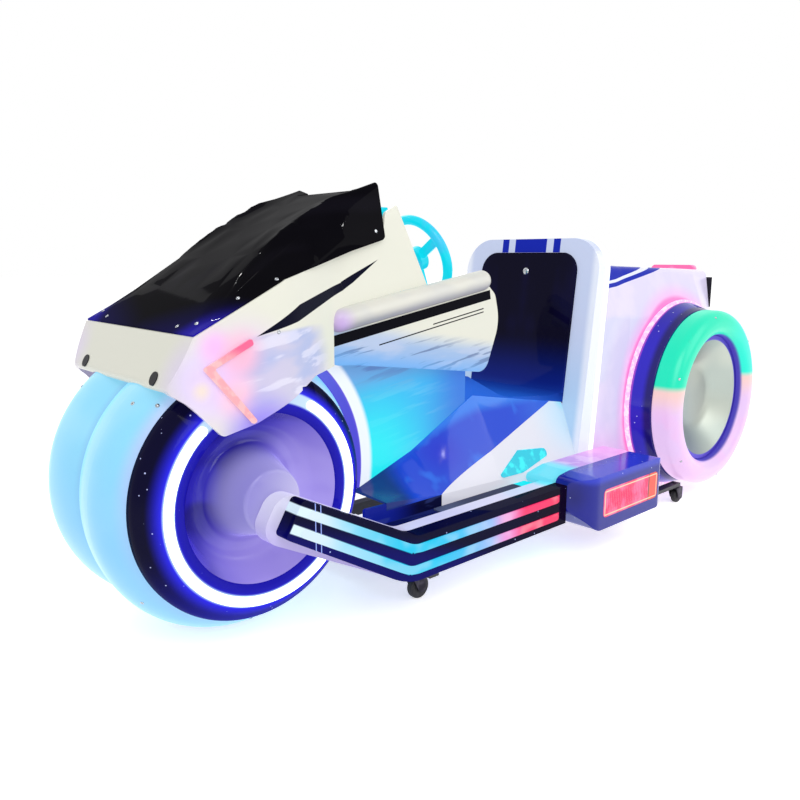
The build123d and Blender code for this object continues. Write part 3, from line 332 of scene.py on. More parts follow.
def relief(shader, height, reach, strength=1.0):
    """Gives a shader fine relief: a height that goes from 0 to 1, over that reach."""
    bump = add("ShaderNodeBump", {"Height": height, "Distance": reach, "Strength": strength})
    feed(shader, "Normal", bump.outputs[0])


def lit(shader, colour, share):
    """Paints a shader with a colour of which a share is given out as glow: lamp light where lamps lie behind
    the moulding, and on gel coats without lamps a painted glow that stands in for the light falling on them.
    """
    shader.inputs["Emission Strength"].default_value = share
    feed(shader, "Emission Color", colour)
    feed(shader, "Base Color", layered(colour, (share, BLACK)))


def gel_coat(name, **extra):
    """Gel coat: pigmented polyester sprayed into a polished mould, so it is smooth, deep and wavy."""
    values = {"Roughness": 0.2, "IOR": 1.5, "Coat_Weight": 0.15, "Coat_Roughness": 0.04,
              "Specular_IOR_Level": 0.2, **extra}
    material, shader = surface(name, **values)
    where = place(shader)
    waves = add("ShaderNodeTexNoise", {"Vector": where, "Scale": 1 / (60 * MM), "Detail": 1.0}).outputs[0]
    relief(shader, waves, 0.12 * MM)
    return material, shader, where


def dark_coat(name, **extra):
    """Dark gel coat, whose pigment leaves only thin reflections, so it stays deep."""
    return gel_coat(name, **{"Roughness": 0.16, "Coat_Weight": 0.12, "Specular_IOR_Level": 0.0, **extra})


def either(*masks):
    """Largest of masks."""
    largest = masks[0]
    for mask in masks[1:]:
        largest = add("ShaderNodeMath", {0: largest, 1: mask}, operation="MAXIMUM").outputs[0]
    return largest


def dulled(shader, mask):
    """Takes most of the shine off where dark film or dark gel coat lies, so it stays deep."""
    for socket in ("Coat Weight", "Specular IOR Level"):
        full = shader.inputs[socket].default_value
        shine = add("ShaderNodeMapRange", {"Value": mask, "To Min": full, "To Max": 0.15 * full}).outputs[0]
        feed(shader, socket, shine)


def dress(material, *nodes):
    """Puts a material on frame nodes."""
    for node in nodes:
        for index in range(len(NODES[node].material_slots)):
            NODES[node].material_slots[index].material = material


# ------------------------------------------------------------------- materials
def backlit_tyre():
    """Opal polycarbonate, blow moulded and lit from inside: even, milky light."""
    material, shader = surface("Opal polycarbonate, moulded", Roughness=0.28, IOR=1.58,
                               Specular_IOR_Level=0.3)
    where = place(shader)
    radius = off_axle(where, FRONT_AXLE)
    edge = rises(radius, FRONT_RING_R * 1.00, FRONT_RING_R * 1.09)
    # Darker low down and along the middle crease: painted shade.
    low = beyond(where, (0, 0, 0.16), (0.2, 0, -1), 0.16)
    crease = beyond(where, (0, 9 * MM, 0), (0, -1, 0), 9 * MM)
    milk = rises(cloud(where, 150 * MM), 0.4, 0.7)
    colour = layered("#b4cffb", (edge, colours().tyre), (milk, "#a8e6ff", 0.5), (low, "#86c8f8", 0.7),
                     (crease, "#86c4f2", 0.5))
    lit(shader, colour, 0.72)
    return material


def flake_ring():
    """Gel coat over metal flake, polished: near-black blue with bright specks, with the light of the strip on
    it painted as glow round the strip, inside it and low down.
    """
    material, shader, where = dark_coat("Gel coat, blue flake")
    radius = off_axle(where, FRONT_AXLE)
    strip = 0.215
    # Painted light: the strip's glow round it, a halo next to it, blue glow inside it and low down.
    glow = both(rises(radius, strip - 50 * MM, strip - 8 * MM),
                rises(radius, strip + 40 * MM, strip + 8 * MM))
    inner = rises(radius, strip, strip - 20 * MM)
    halo = both(rises(radius, strip - 15 * MM, strip - 9 * MM),
                rises(radius, strip + 15 * MM, strip + 9 * MM))
    low = beyond(where, (FRONT_AXLE.x, 0, 0.24), (-0.5, 0, -1), 0.16)
    base = layered("#08062a", (low, "#1510a0"), (flake(where, 0.16), "#c4ccff"), (glow, "#2f2cf4"),
                   (inner, "#1a14a4", 0.85), (halo, "#c8e2ff"))
    lit(shader, base, 0.75)
    return material


def strip_light(name, code, bright, strength):
    """Silicone light strip, extruded: an even line, a little brighter over each lamp in it."""
    material, shader = surface(name, Roughness=0.4, IOR=1.41, Specular_IOR_Level=0.2)
    colour = mottled(place(shader), 16 * MM, 0.45, 0.6, code, bright)
    feed(shader, "Emission Color", colour)
    shader.inputs["Emission Strength"].default_value = strength
    feed(shader, "Base Color", layered(colour, (0.9, BLACK)))
    return material


def pearl_dish():
    """Pearl gel coat, moulded, with painted light and shade: deep violet shade ahead and above, lavender
    light behind and below, painted reflection streaks, and the boss shaded darker on its fore side.
    """
    material, shader, where = gel_coat("Pearl gel coat, lavender", Roughness=0.16)
    # Painted reflection streaks; painted shade ahead, on the far side and on the boss's fore side.
    reflection_streak = rises(cloud(where, 110 * MM, (1, 1, 1.8), 0.5), 0.40, 0.66)
    ahead = beyond(where, FRONT_AXLE - Vector((0.02, 0, 0.01)), (0.8, 0, 0.6), 0.10)
    far = beyond(where, FRONT_AXLE + Vector((0.035, 0, 0.025)), (0.8, 0, 0.6), 0.08)
    boss = rises(off_axle(where, FRONT_AXLE), 0.105, 0.066)
    cap = beyond(where, FRONT_AXLE, (0.9, 0, 0.5), 0.08)
    base = layered(colours().lavender, (reflection_streak, "#bdb0f2", 0.45), (ahead, "#463ac4", 0.9),
                   (far, colours().violet), (both(far, reflection_streak), "#171256", 0.7), (boss, "#c9c4e8", 0.9),
                   (both(boss, cap), "#8078cc", 0.8))
    lit(shader, base, 0.5)
    return material


def cream_cowl():
    """Cream gel coat with a black bolt decal, with painted light on it: the pink lamps' glow, lavender, peach
    and violet light, painted shade on the skirt below the arrow and painted reflection streaks there.
    """
    material, shader, where = gel_coat("Gel coat, cream, cowl")
    # Painted reflection streaks on the shaded skirt: bluish and pale.
    reflection_tint = rises(cloud(slanted(where), 110 * MM, (0.5, 1, 1.4), 3.0), 0.44, 0.62)
    fine = rises(cloud(slanted(where), 40 * MM, (0.25, 1, 1.8), 3.0), 0.52, 0.62)
    bolt = either(patch(where, BOLT_WEDGE), patch(where, BOLT_TIP))
    # Painted shade on the skirt below the arrow.
    shade = near(where, (0.82, HALF_WIDTH, 0.60), 0.16, 0.08)
    side = both(shade, beyond(where, (0.905, 0, 0.680), (-0.05, 0, -1), 6 * MM))
    # Painted light: lavender and peach near the nose corner, pink round the arrow lamps, violet low down over
    # the dish.
    base = layered(colours().cream, (near(where, (1.03, 0.26, 0.60), 0.11), "#dccdf4"),
                   (near(where, (0.94, HALF_WIDTH, 0.60), 0.15), "#dfc0f2"), (side, "#c3bfda", 0.9),
                   (both(side, reflection_tint), "#9fb0dc", 0.7), (both(side, fine), "#e8e6f4", 0.5),
                   (near(where, (1.0, HALF_WIDTH, 0.665), 0.05), "#efb8ee"),
                   (near(where, (0.945, HALF_WIDTH, 0.645), 0.07), "#f6b4cc", 0.9),
                   (near(where, (0.955, HALF_WIDTH, 0.565), 0.06), "#f9c2d2", 0.9),
                   (near(where, (1.03, HALF_WIDTH, 0.585), 0.03), "#ecdcc4", 0.8),
                   (near(where, (0.90, HALF_WIDTH, 0.47), 0.12, 0.09), "#8f80e8"), (bolt, "#0a0b20"))
    lit(shader, base, 0.35)
    dulled(shader, bolt)
    return material


def black_hood():
    """Near-black gel coat, polished to a mirror, with painted violet light along its front edges and painted
    reflection streaks.
    """
    material, shader, where = dark_coat("Gel coat, black, hood", Roughness=0.12, Coat_Weight=0.05)
    # Painted violet light along the front edges; painted reflection streaks.
    front = beyond(where, (0.985, 0.20, 0.715), (0.9, 0.5, -0.9), 0.06)
    side = beyond(where, (0.97, 0.245, 0.72), (0.5, 1.0, -0.3), 0.03)
    reflection_streak = rises(cloud(where, 90 * MM, (0.3, 1, 1.0), 1.0), 0.55, 0.75)
    base = layered(colours().hood, (reflection_streak, "#14121c", 0.35), (front, "#140e58", 0.55),
                   (both(front, side), "#2a20b0", 0.7))
    lit(shader, base, 0.3)
    return material


def below_roll(x, drop):
    """Point on the tank's side, that far below the line of the knee roll."""
    share = (ROLL_FRONT[0] - x) / (ROLL_FRONT[0] - ROLL_REAR[0])
    return x, ROLL_FRONT[1] + share * (ROLL_REAR[1] - ROLL_FRONT[1]) - drop


def cream_tank():
    """Cream gel coat with a black stripe and two pinstripes; below the knee roll the blue light and
    reflections of the lit flank are painted on.
    """
    material, shader, where = gel_coat("Gel coat, cream, tank")
    down = Vector((ROLL_REAR[1] - ROLL_FRONT[1], 0, ROLL_REAR[0] - ROLL_FRONT[0]))
    start = below_roll(0.4, 0.100)
    # Below the knee roll: painted blue light and painted reflection streaks of the lit flank, bluest near the
    # foot.
    lower = beyond(where, (start[0], 0, start[1]), down, 0.028)
    reflection_smear = rises(cloud(slanted(where), 26 * MM, (0.20, 1, 2.6), 3.0), 0.54, 0.61)
    broad = rises(cloud(where, 80 * MM, (0.5, 1, 1.8), 3.0), 0.45, 0.60)
    fine = sizes().pinstripe / 2
    lines = either(stripe(where, below_roll(0.662, 0.045), below_roll(0.124, 0.045), 12.5 * MM),
                   stripe(where, below_roll(0.34, 0.077), below_roll(0.15, 0.077), fine),
                   stripe(where, below_roll(0.52, 0.086), below_roll(0.15, 0.086), fine))
    lines = both(lines, beyond(where, (0, 0.9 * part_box("tank_shell")[1].y, 0), (0, 1, 0)))
    base = layered(colours().cream, (lower, "#8fb0dc", 0.9), (both(lower, broad), "#b4c2dc", 0.8),
                   (both(lower, reflection_smear), "#586c98", 0.75),
                   (beyond(where, (0.4, 0, 0.575), (0.16, 0, -1), 0.03), "#55a4ea", 0.8), (lines, "#06060f"))
    lit(shader, base, 0.35)
    dulled(shader, lines)
    return material


def cream_roll():
    """Cream gel coat, plain, with painted shade underneath and painted lavender light at its front end."""
    material, shader, where = gel_coat("Gel coat, cream, rolls")
    front = near(where, (0.655, 0.20, 0.683), 0.055)
    under = beyond(where, (0.64, 0, 0.684), (-0.16, 0, -1), 0.012)
    mottle = rises(cloud(where, 60 * MM, (0.5, 1, 1)), 0.45, 0.65)
    base = layered("#d2d1c8", (mottle, "#c4c5c4", 0.5), (under, "#8f8e98", 0.7), (front, "#c0a2dc", 0.9))
    lit(shader, base, 0.3)
    return material


def lit_flank():
    """White gel coat painted with the light on it: sky blue, cyan at its foot, steel-blue shade near the top
    with painted reflection streaks; round the wheel a painted white highlight on its edge and a painted
    shadow just inside.
    """
    material, shader, where = gel_coat("Gel coat, white, flank")
    radius = off_axle(where, FRONT_AXLE)
    # Painted highlight on the edge round the wheel and painted shadow just inside it; painted cyan light at
    # the foot, painted shade and reflection streaks near the top.
    edge = rises(radius, 0.368, 0.354)
    inner = rises(radius, 0.331, 0.328)
    foot = near(where, (0.52, 0.148, 0.33), 0.24, 0.22)
    rear = beyond(where, (0.29, 0, 0.45), (-1, 0, 0.1), 0.09)
    top = beyond(where, (0.40, 0, 0.54), (0.14, 0, 1), 0.05)
    reflection_smear = rises(cloud(slanted(where), 42 * MM, (0.22, 1, 2.0), 3.0), 0.50, 0.62)
    base = layered(colours().sky, (reflection_smear, "#62c8f2", 0.45), (rear, "#2b78dc"), (top, "#6f9cd8", 0.8),
                   (both(top, reflection_smear), "#4c6ab4", 0.6), (foot, colours().cyan), (edge, "#eef6ff"),
                   (inner, "#5a48d8"))
    lit(shader, base, 0.7)
    return material


def blue_saddle():
    """Royal-blue gel coat over the flare of the saddle, with painted shade darker towards the deck, in its
    dip and at its front, and painted highlights along its crest and in patches of sheen.
    """
    material, shader, where = gel_coat("Gel coat, royal blue, saddle", Roughness=0.12)
    front = beyond(where, (0.475, 0, 0.290), (1, 0, 0.55), 0.025)
    crest = beyond(where, (0.2, 0.163, 0.4), (0, -1, 0.3), 0.012)
    dip = near(where, (0.32, 0.19, 0.33), 0.10)
    rear = beyond(where, (-0.02, 0, 0.42), (-1, 0, 0.3), 0.08)
    gleam = rises(cloud(where, 55 * MM, (0.9, 1, 0.5), 1.5), 0.54, 0.70)
    base = layered(colours().saddle, (dip, "#2330c4", 0.8), (rear, "#2a64d8", 0.7), (crest, "#2f86ea", 0.7),
                   (gleam, "#2c7cec", 0.5), (front, "#0f2368", 0.9))
    lit(shader, base, 0.5)
    return material


def white_skirt():
    """White gel coat of the lower sides, with painted cyan lamp light near the seat and a painted highlight
    on its upper part.
    """
    material, shader, where = gel_coat("Gel coat, white, skirts")
    rear = near(where, (-0.22, 0.25, 0.38), 0.22)
    edge = beyond(where, (0.391, 0, 0.240), (-0.26, 0, 1), 8 * MM)
    base = layered("#d3d3df", (edge, "#eeeef6", 0.4), (rear, "#b9e2f6", 0.9),
                   (near(where, (-0.21, 0.19, 0.41), 0.05), "#6fe2fa"))
    lit(shader, base, 0.5)
    return material


def navy_riser():
    """Dark gel coat between deck and sill, with streaks of reflected light."""
    material, shader, where = dark_coat("Gel coat, navy, risers")
    front = beyond(where, (0.52, 0, 0.24), (1, 0, 0), 0.06)
    reflection_streak = rises(cloud(where, 40 * MM, (0.4, 1, 2)), 0.5, 0.6)
    base = layered("#0b0d34", (front, "#15249a", 0.8), (reflection_streak, "#3c4a90", 0.35))
    lit(shader, base, 0.3)
    return material


def deck_coat():
    """Dark-blue gel coat of the step, with painted cyan lamp light beside the lamp boxes and painted
    reflection streaks.
    """
    material, shader, where = dark_coat("Gel coat, blue, decks")
    rear = beyond(where, (0.19, 0, 0.2), (-1, 0, 0), 0.05)
    reflection_streak = rises(cloud(where, 50 * MM, (0.4, 2, 1)), 0.5, 0.6)
    base = layered("#0c1450", (reflection_streak, "#28347c", 0.4), (rear, colours().cyan))
    lit(shader, base, 0.5)
    return material


def grey_pad():
    """Grey rubber, calendered with fine ribs across the step."""
    material, shader = surface("Rubber, grey ribbed", Roughness=0.6, IOR=1.52, Specular_IOR_Level=0.2)
    where = place(shader)
    rib = add("ShaderNodeTexWave", {"Vector": where, "Scale": math.pi / (10 * 6 * MM)}, bands_direction="X")
    relief(shader, rib.outputs[1], 0.8 * MM)
    front = beyond(where, (0.36, 0, 0), (1, 0, 0), 0.06)
    feed(shader, "Base Color", layered("#2c3250", (front, "#4a5478")))
    return material


def teardrop_lens():
    """Tinted acrylic lens, moulded and lit from behind, brighter over its lamps."""
    material, shader = surface("Acrylic, cyan, moulded", Roughness=0.12, IOR=1.49)
    lit(shader, mottled(place(shader), 30 * MM, 0.46, 0.6, "#0cc8e0", "#2af0f8"), 0.85)
    return material


def strip_colour(where):
    """Colour of the bumpers' light: white in front, over cyan, to hot pink towards the rear."""
    steps = ((0.80, 0.06, "#7fdcfb"), (0.70, 0.07, "#24cdf6"), (0.50, 0.07, "#4cc4f8"),
             (0.41, 0.05, "#9cc4fa"), (0.33, 0.035, "#f29ae0"), (0.26, 0.04, "#ff3a72"),
             (0.14, 0.04, "#ff3e6c"))
    colour = "#dcf2ff"
    for x, soft, code in steps:
        colour = layered(colour, (beyond(where, (x, 0, 0), (-1, 0, 0), soft), code))
    return colour


def bumper_coat():
    """Dark gel coat of the bumpers, flaked, with thin pale tick lines near its front end, painted blue glow
    along its foot and two light strips painted on as glow.
    """
    material, shader, where = dark_coat("Gel coat, navy flake, bumpers")
    rear = beyond(where, (0.20, 0, 0.2), (-1, 0, 0), 0.08)
    low = beyond(where, (0.6, 0, 0.20), (0.35, 0, -1), 0.03)
    base = layered(colours().navy, (low, "#141298", 0.35), (rear, "#10031c", 0.8),
                   (flake(where, 0.10), "#b0c0f8"))
    # Painted light: two glowing strips coloured like the light strips.
    glow = strip_colour(where)
    for offset in (-24 * MM, 24 * MM):
        kink = (BUMPER_KINK[0] - 0.158 * offset, BUMPER_KINK[1] + offset)
        front = (BUMPER_FRONT[0] - 0.30 * offset, BUMPER_FRONT[1] + 0.73 * offset)
        for start, end in ((kink, front), ((BUMPER_REAR_X, kink[1]), kink)):
            base = layered(base, (stripe(where, start, end, 9.5 * MM, 1.5 * MM), glow))
    for x in (0.838, 0.850):
        line = both(beyond(where, (x - 1 * MM, 0, 0), (1, 0, 0)),
                    beyond(where, (x + 1 * MM, 0, 0), (-1, 0, 0)))
        base = layered(base, (line, "#9fb4ff"))
    lit(shader, base, 0.6)
    return material


def base_coat():
    """Pale gel coat behind the bumpers, with painted light and shade: lavender shade at the lower lip, pink
    lamp light over the lamp boxes and a cyan band of lamp light beside them.
    """
    material, shader, where = gel_coat("Gel coat, pale, bumper bases")
    low = beyond(where, (0.6, 0, 0.19), (0.35, 0, -1), 0.06)
    pod = beyond(where, (-0.02, 0, 0.2), (-1, 0, 0), 0.05)
    step = both(beyond(where, (0.090, 0, 0.2), (-1, 0, 0), 0.02),
                beyond(where, (-0.055, 0, 0.2), (1, 0, 0), 0.03))
    far = beyond(where, (-0.19, 0, 0.2), (-1, 0, 0), 0.08)
    patchy = rises(cloud(where, 60 * MM), 0.46, 0.6)
    base = layered("#d6d4ee", (low, "#b4a4ea", 0.8), (pod, "#b98ae0"), (both(pod, patchy), "#d8b8ee", 0.7),
                   (far, "#f2a8ea", 0.8), (step, "#58e4f6", 0.9))
    lit(shader, base, 0.5)
    return material


def arrow_strips():
    """Silicone light strips, hot pink above and peach below."""
    material, shader = surface("Silicone, pink light strip", Roughness=0.4, IOR=1.41, Specular_IOR_Level=0.2)
    where = place(shader)
    top = beyond(where, (0.96, 0, 0.645), (-0.3, 0, 1), 0.02)
    spots = rises(cloud(where, 16 * MM), 0.45, 0.6)
    base = layered("#ffb4bc", (spots, "#ffd2d2", 0.6), (top, "#ff6f9c"))
    lit(shader, base, 0.98)
    return material


def running_strips():
    """Silicone light strips, extruded, with lamps that change colour along the car."""
    material, shader = surface("Silicone, light strips", Roughness=0.4, IOR=1.41, Specular_IOR_Level=0.2)
    where = place(shader)
    spots = rises(cloud(where, 45 * MM, detail=0.5), 0.40, 0.70)
    colour = strip_colour(where)
    lit(shader, layered(colour, (spots, (1, 1, 1), 0.18)), 0.98)
    return material


def box_coat():
    """Royal-blue flaked gel coat of the lamp boxes, with painted shade darker on the sides and near the
    front, and a painted lighter top.
    """
    material, shader, where = gel_coat("Gel coat, royal blue flake", Roughness=0.12)
    front = near(where, (0.03, 0.40, 0.20), 0.06)
    top = beyond(where, (0, 0.42, 0.238), (0, 0.2, 1), 0.010)
    base = layered(colours().royal, (front, "#12125c", 0.6), (top, "#2a3ccc", 0.8),
                   (flake(where, 0.12), "#c8d4ff"))
    lit(shader, base, 0.45)
    return material


def red_lens():
    """Red acrylic lens, moulded and lit from behind, amber in its rear cell, with a pale rim line."""
    material, shader = surface("Acrylic, red, moulded", Roughness=0.18, IOR=1.49)
    where = place(shader)
    glow = rises(cloud(where, 50 * MM), 0.42, 0.6)
    amber = beyond(where, (AMBER_END, 0, 0), (-1, 0, 0))
    divide = both(amber, beyond(where, (AMBER_END - 4 * MM, 0, 0), (1, 0, 0)))
    frames = []
    for inset in (5 * MM, 8 * MM):
        x0, x1, z0, z1 = LENS_LOW.x + inset, LENS_HIGH.x - inset, LENS_LOW.z + inset, LENS_HIGH.z - inset
        frames.append(patch(where, [(x0, z0), (x1, z0), (x1, z1), (x0, z1)]))
    rim = both(frames[0], outside(frames[1]))
    base = layered(colours().red, (glow, "#fb6a9c"), (amber, "#ec4428"), (divide, "#3c0a1c"),
                   (rim, "#f4d8b0"))
    lit(shader, base, 0.85)
    return material


def white_arch():
    """White gel coat of the seat arch with blue stripes over its crown."""
    material, shader, where = gel_coat("Gel coat, white, seat arch")
    crown = beyond(where, (0, 0, SEAT_TOP - 58 * MM), (0, 0, 1))
    wide = beyond(where, (0, 62 * MM, 0), (0, -1, 0))
    thin = both(beyond(where, (0, 114 * MM, 0), (0, -1, 0)), beyond(where, (0, 88 * MM, 0), (0, 1, 0)))
    bands = both(crown, either(wide, thin))
    # Painted pale-blue lamp light low down and a painted highlight along the outer edge.
    low = beyond(where, (0, 0, 0.50), (0, 0, -1), 0.16)
    edge = beyond(where, (0, HALF_WIDTH - 20 * MM, 0), (0, 1, 0), 0.012)
    base = layered(colours().white, (low, "#aed6f6", 0.8), (edge, "#f2f5ff", 0.8), (bands, "#1728ac"))
    lit(shader, base, 0.5)
    dulled(shader, bands)
    return material


def backrest_coat():
    """Navy gel coat of the backrest, polished, running into the saddle's blue at its foot."""
    material, shader, where = dark_coat("Gel coat, navy, backrest")
    low = beyond(where, (0, 0, 0.56), (0.35, 0, -1), 0.11)
    foot = beyond(where, (0, 0, 0.46), (0.35, 0, -1), 0.06)
    soft = rises(cloud(where, 130 * MM, (1, 1, 0.5)), 0.45, 0.65)
    base = layered("#09071f", (soft, "#0f0d38", 0.5), (low, "#10268a"), (foot, "#2264d4"))
    lit(shader, base, 0.5)
    return material


def tail_coat():
    """White gel coat of the tail: blue panel and pinstripe on top, painted pink lamp light round the wheels
    and low down.
    """
    material, shader, where = gel_coat("Gel coat, white, tail")
    radius = off_axle(where, REAR_AXLE)
    ring = rises(radius, 0.40, 0.325)
    rim = rises(radius, 0.348, 0.330)
    low = beyond(where, (0, 0, 0.30), (0.2, 0, -1), 0.12)
    panel = patch(where, TAIL_PANEL)
    line = both(patch(where, TAIL_LINE_OUTER), outside(patch(where, TAIL_LINE_INNER)))
    soft = rises(cloud(where, 120 * MM), 0.42, 0.62)
    base = layered("#dcd4f2", (soft, "#e6dcf6", 0.6), (low, "#f2a2ee", 0.8), (ring, "#f6b4ee", 0.8),
                   (rim, "#fa6cc4", 0.8), (panel, "#1c2cae"), (line, "#e6e8fa"))
    lit(shader, base, 0.5)
    dulled(shader, panel)
    return material


def fender_coat():
    """Blue-violet flaked gel coat of the rear wheel's flared ring, with painted shade on top and at its inner
    edge and painted pink lamp light along its rim.
    """
    material, shader, where = gel_coat("Gel coat, violet flake", Roughness=0.12)
    radius = off_axle(where, REAR_AXLE)
    inner = rises(radius, 0.309, 0.302)
    rim = rises(radius, 0.3185, 0.3215)
    top = beyond(where, (0, 0, 0.52), (0.2, 0, 1), 0.10)
    base = layered("#2b20ba", (top, "#110e58", 0.9), (flake(where, 0.22), "#e4e8ff"), (inner, "#140c48", 0.8),
                   (rim, "#e060d8"))
    lit(shader, base, 0.55)
    return material


def two_tone_ring():
    """Opal polycarbonate, moulded and lit from inside: mint above, blush below."""
    material, shader = surface("Opal polycarbonate, rear rings", Roughness=0.3, IOR=1.58,
                               Specular_IOR_Level=0.3)
    where = place(shader)
    level = 0.415
    low = beyond(where, (0, 0, level), (0, 0, -1), 12 * MM)
    seam = beyond(where, (0, 0, level - 0.055), (0, 0, -1), 45 * MM)
    right = beyond(where, (-0.93, 0, 0.5), (-1, 0, 0.2), 0.08)
    inner = rises(off_axle(where, REAR_AXLE), LIT_RING_R - 76 * MM, LIT_RING_R - 81 * MM)
    milk = rises(cloud(where, 90 * MM), 0.42, 0.62)
    warm = layered("#f8d0cc", (seam, colours().blush), (both(seam, milk), "#f2c2f2", 0.6))
    base = layered(colours().mint, (right, "#04f2d8"), (low, warm), (inner, "#4a40b4"))
    lit(shader, base, 0.8)
    return material


def spun_hub():
    """Aluminium, spun on a lathe: fine rings that stretch the reflections round the hub."""
    material, shader = surface("Aluminium, spun", Metallic=1.0, Roughness=0.4)
    where = place(shader)
    radius = off_axle(where, REAR_AXLE)
    rings = add("ShaderNodeMath", {0: radius, 1: 2 * math.pi / (4 * MM)}, operation="MULTIPLY").outputs[0]
    wave = add("ShaderNodeMath", {0: rings}, operation="SINE").outputs[0]
    relief(shader, wave, 0.05 * MM, 0.5)
    # Painted reflections: violet at the lip, darker towards the front.
    lip = rises(radius, 0.197, 0.200)
    fore = beyond(where, (REAR_AXLE.x + 0.04, 0, REAR_AXLE.z), (1, 0, -0.3), 0.10)
    haze = rises(cloud(where, 160 * MM, detail=0.5), 0.38, 0.66)
    base = layered("#b0b6ac", (haze, "#8c9a98", 0.45), (fore, "#8496a0", 0.7), (lip, "#5a4cc0"))
    feed(shader, "Base Color", base)
    return material


def black_nylon():
    """Nylon, injection moulded: matt black."""
    material, shader = surface("Nylon, black, moulded", Roughness=0.45, IOR=1.53, Specular_IOR_Level=0.2)
    where = place(shader)
    relief(shader, cloud(where, 1.2 * MM), 0.05 * MM)
    feed(shader, "Base Color", mottled(where, 80 * MM, 0.4, 0.7, "#0b0a12", "#17151f"))
    return material


def powder_coat():
    """Steel under black powder coat: satin with a fine peel."""
    material, shader = surface("Steel, powder coated", Roughness=0.42, IOR=1.5)
    where = place(shader)
    relief(shader, cloud(where, 2 * MM), 0.06 * MM)
    feed(shader, "Base Color", mottled(where, 50 * MM, 0.60, 0.75, "#17171b", "#2a2a2e", detail=5.0))
    return material


def battery_case():
    """Polypropylene, injection moulded: dull grey."""
    material, shader = surface("Polypropylene, grey, moulded", Roughness=0.55, IOR=1.49)
    feed(shader, "Base Color", mottled(place(shader), 90 * MM, 0.4, 0.7, "#3c3e44", "#4a4c52"))
    return material


def solid_tyre():
    """Polyurethane, cast: near-black, scuffed on the tread."""
    material, shader = surface("Polyurethane, black, cast", Roughness=0.62, IOR=1.5)
    where = place(shader)
    scuff = cloud(where, 9 * MM, detail=5.0)
    feed(shader, "Base Color", layered("#131216", (rises(scuff, 0.55, 0.75), "#2b292e")))
    relief(shader, scuff, 0.3 * MM)
    return material


def zinc_plate():
    """Steel, pressed and black zinc plated."""
    material, shader = surface("Steel, black zinc", Metallic=1.0, Roughness=0.35)
    feed(shader, "Base Color", mottled(place(shader), 20 * MM, 0.4, 0.7, "#2a2830", "#4b4852"))
    return material


def lit_wheel():
    """Acrylic, moulded, lit cyan from below: steering wheel and dash."""
    material, shader = surface("Acrylic, aqua, moulded", Roughness=0.2, IOR=1.49, Specular_IOR_Level=0.2)
    lit(shader, mottled(place(shader), 60 * MM, 0.45, 0.65, "#10dcf0", "#3cccf2"), 0.8)
    return material


def tail_light():
    """Acrylic, pink, moulded and lit from inside."""
    material, shader = surface("Acrylic, pink, moulded", Roughness=0.25, IOR=1.49)
    lit(shader, mottled(place(shader), 50 * MM, 0.5, 0.7, colours().pink, "#ffa0d0"), 0.85)
    return material


def bright_screw():
    """Stainless steel, cold headed: small bright domes."""
    material, shader = surface("Stainless steel, headed", Metallic=1.0, Roughness=0.25)
    feed(shader, "Base Color", mottled(place(shader), 3 * MM, 0.4, 0.6, "#8d9096", "#c4c8cc"))
    return material


# ------------------------------------------------------------------ mesh tools
def spoke(angle):
    """Direction square to the axles, that many degrees up from straight ahead."""
    turn = math.radians(angle)
    return Vector((math.cos(turn), 0, math.sin(turn)))


def new_piece(name, mesh, material, body="frame"):
    """Puts a finished mesh into the scene as a piece that rides on a body."""
    piece = bpy.data.objects.new(name, mesh)
    bpy.context.scene.collection.objects.link(piece)
    mesh.materials.append(material)
    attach(piece, body)
    return piece


def finished(mesh, name):
    """Mesh data of that name from a bmesh, which is then freed."""
    data = bpy.data.meshes.new(name)
    mesh.to_mesh(data)
    mesh.free()
    return data


def moulded(node, material, passes, sharp=math.radians(34)):
    """A frame node's form with its flat spans eased into one flowing surface; it stands for that node."""
    mesh = bmesh.new()
    mesh.from_mesh(NODES[node].data)
    bmesh.ops.remove_doubles(mesh, verts=mesh.verts, dist=0.02 * MM)
    hard = [edge for edge in mesh.edges if not edge.is_manifold or edge.calc_face_angle(math.pi) > sharp]
    fixed = {vertex for edge in hard for vertex in edge.verts}
    for _ in range(passes):
        bmesh.ops.smooth_vert(mesh, verts=[v for v in mesh.verts if v not in fixed], factor=0.5,
                              use_axis_x=True, use_axis_y=True, use_axis_z=True)
    for face in mesh.faces:
        face.smooth = True
    for edge in hard:
        edge.smooth = False
    name = node + "_moulding"
    piece = new_piece(name, finished(mesh, name), material, "frame")
    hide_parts(node)
    return piece


def land(piece, start, way):
    """Point and outward normal where a line meets a piece or a frame node."""
    mesh = (NODES[piece] if isinstance(piece, str) else piece).data
    faces = BVHTree.FromPolygons([v.co for v in mesh.vertices], [f.vertices for f in mesh.polygons])
    point, normal, _, _ = faces.ray_cast(Vector(start), Vector(way).normalized())
    if point is None:
        raise RuntimeError(f"nothing of {piece} lies on that line")
    return point, normal


def dome_screws(name, spots, radius=None):
    """Joined dome-headed screws at (point, normal) spots."""
    radius, mesh = radius or sizes().screw_radius, bmesh.new()
    for point, normal in spots:
        turn = normal.to_track_quat("Z", "Y").to_matrix().to_4x4()
        turn.translation = point
        head = bmesh.ops.create_uvsphere(mesh, u_segments=12, v_segments=8, radius=radius)["verts"]
        for vertex in head:
            vertex.co.z = max(vertex.co.z, -0.1 * radius) * 0.45
        bmesh.ops.transform(mesh, matrix=turn, verts=head)
    for face in mesh.faces:
        face.smooth = True
    return new_piece(name, finished(mesh, name), bright_screw(), "frame")


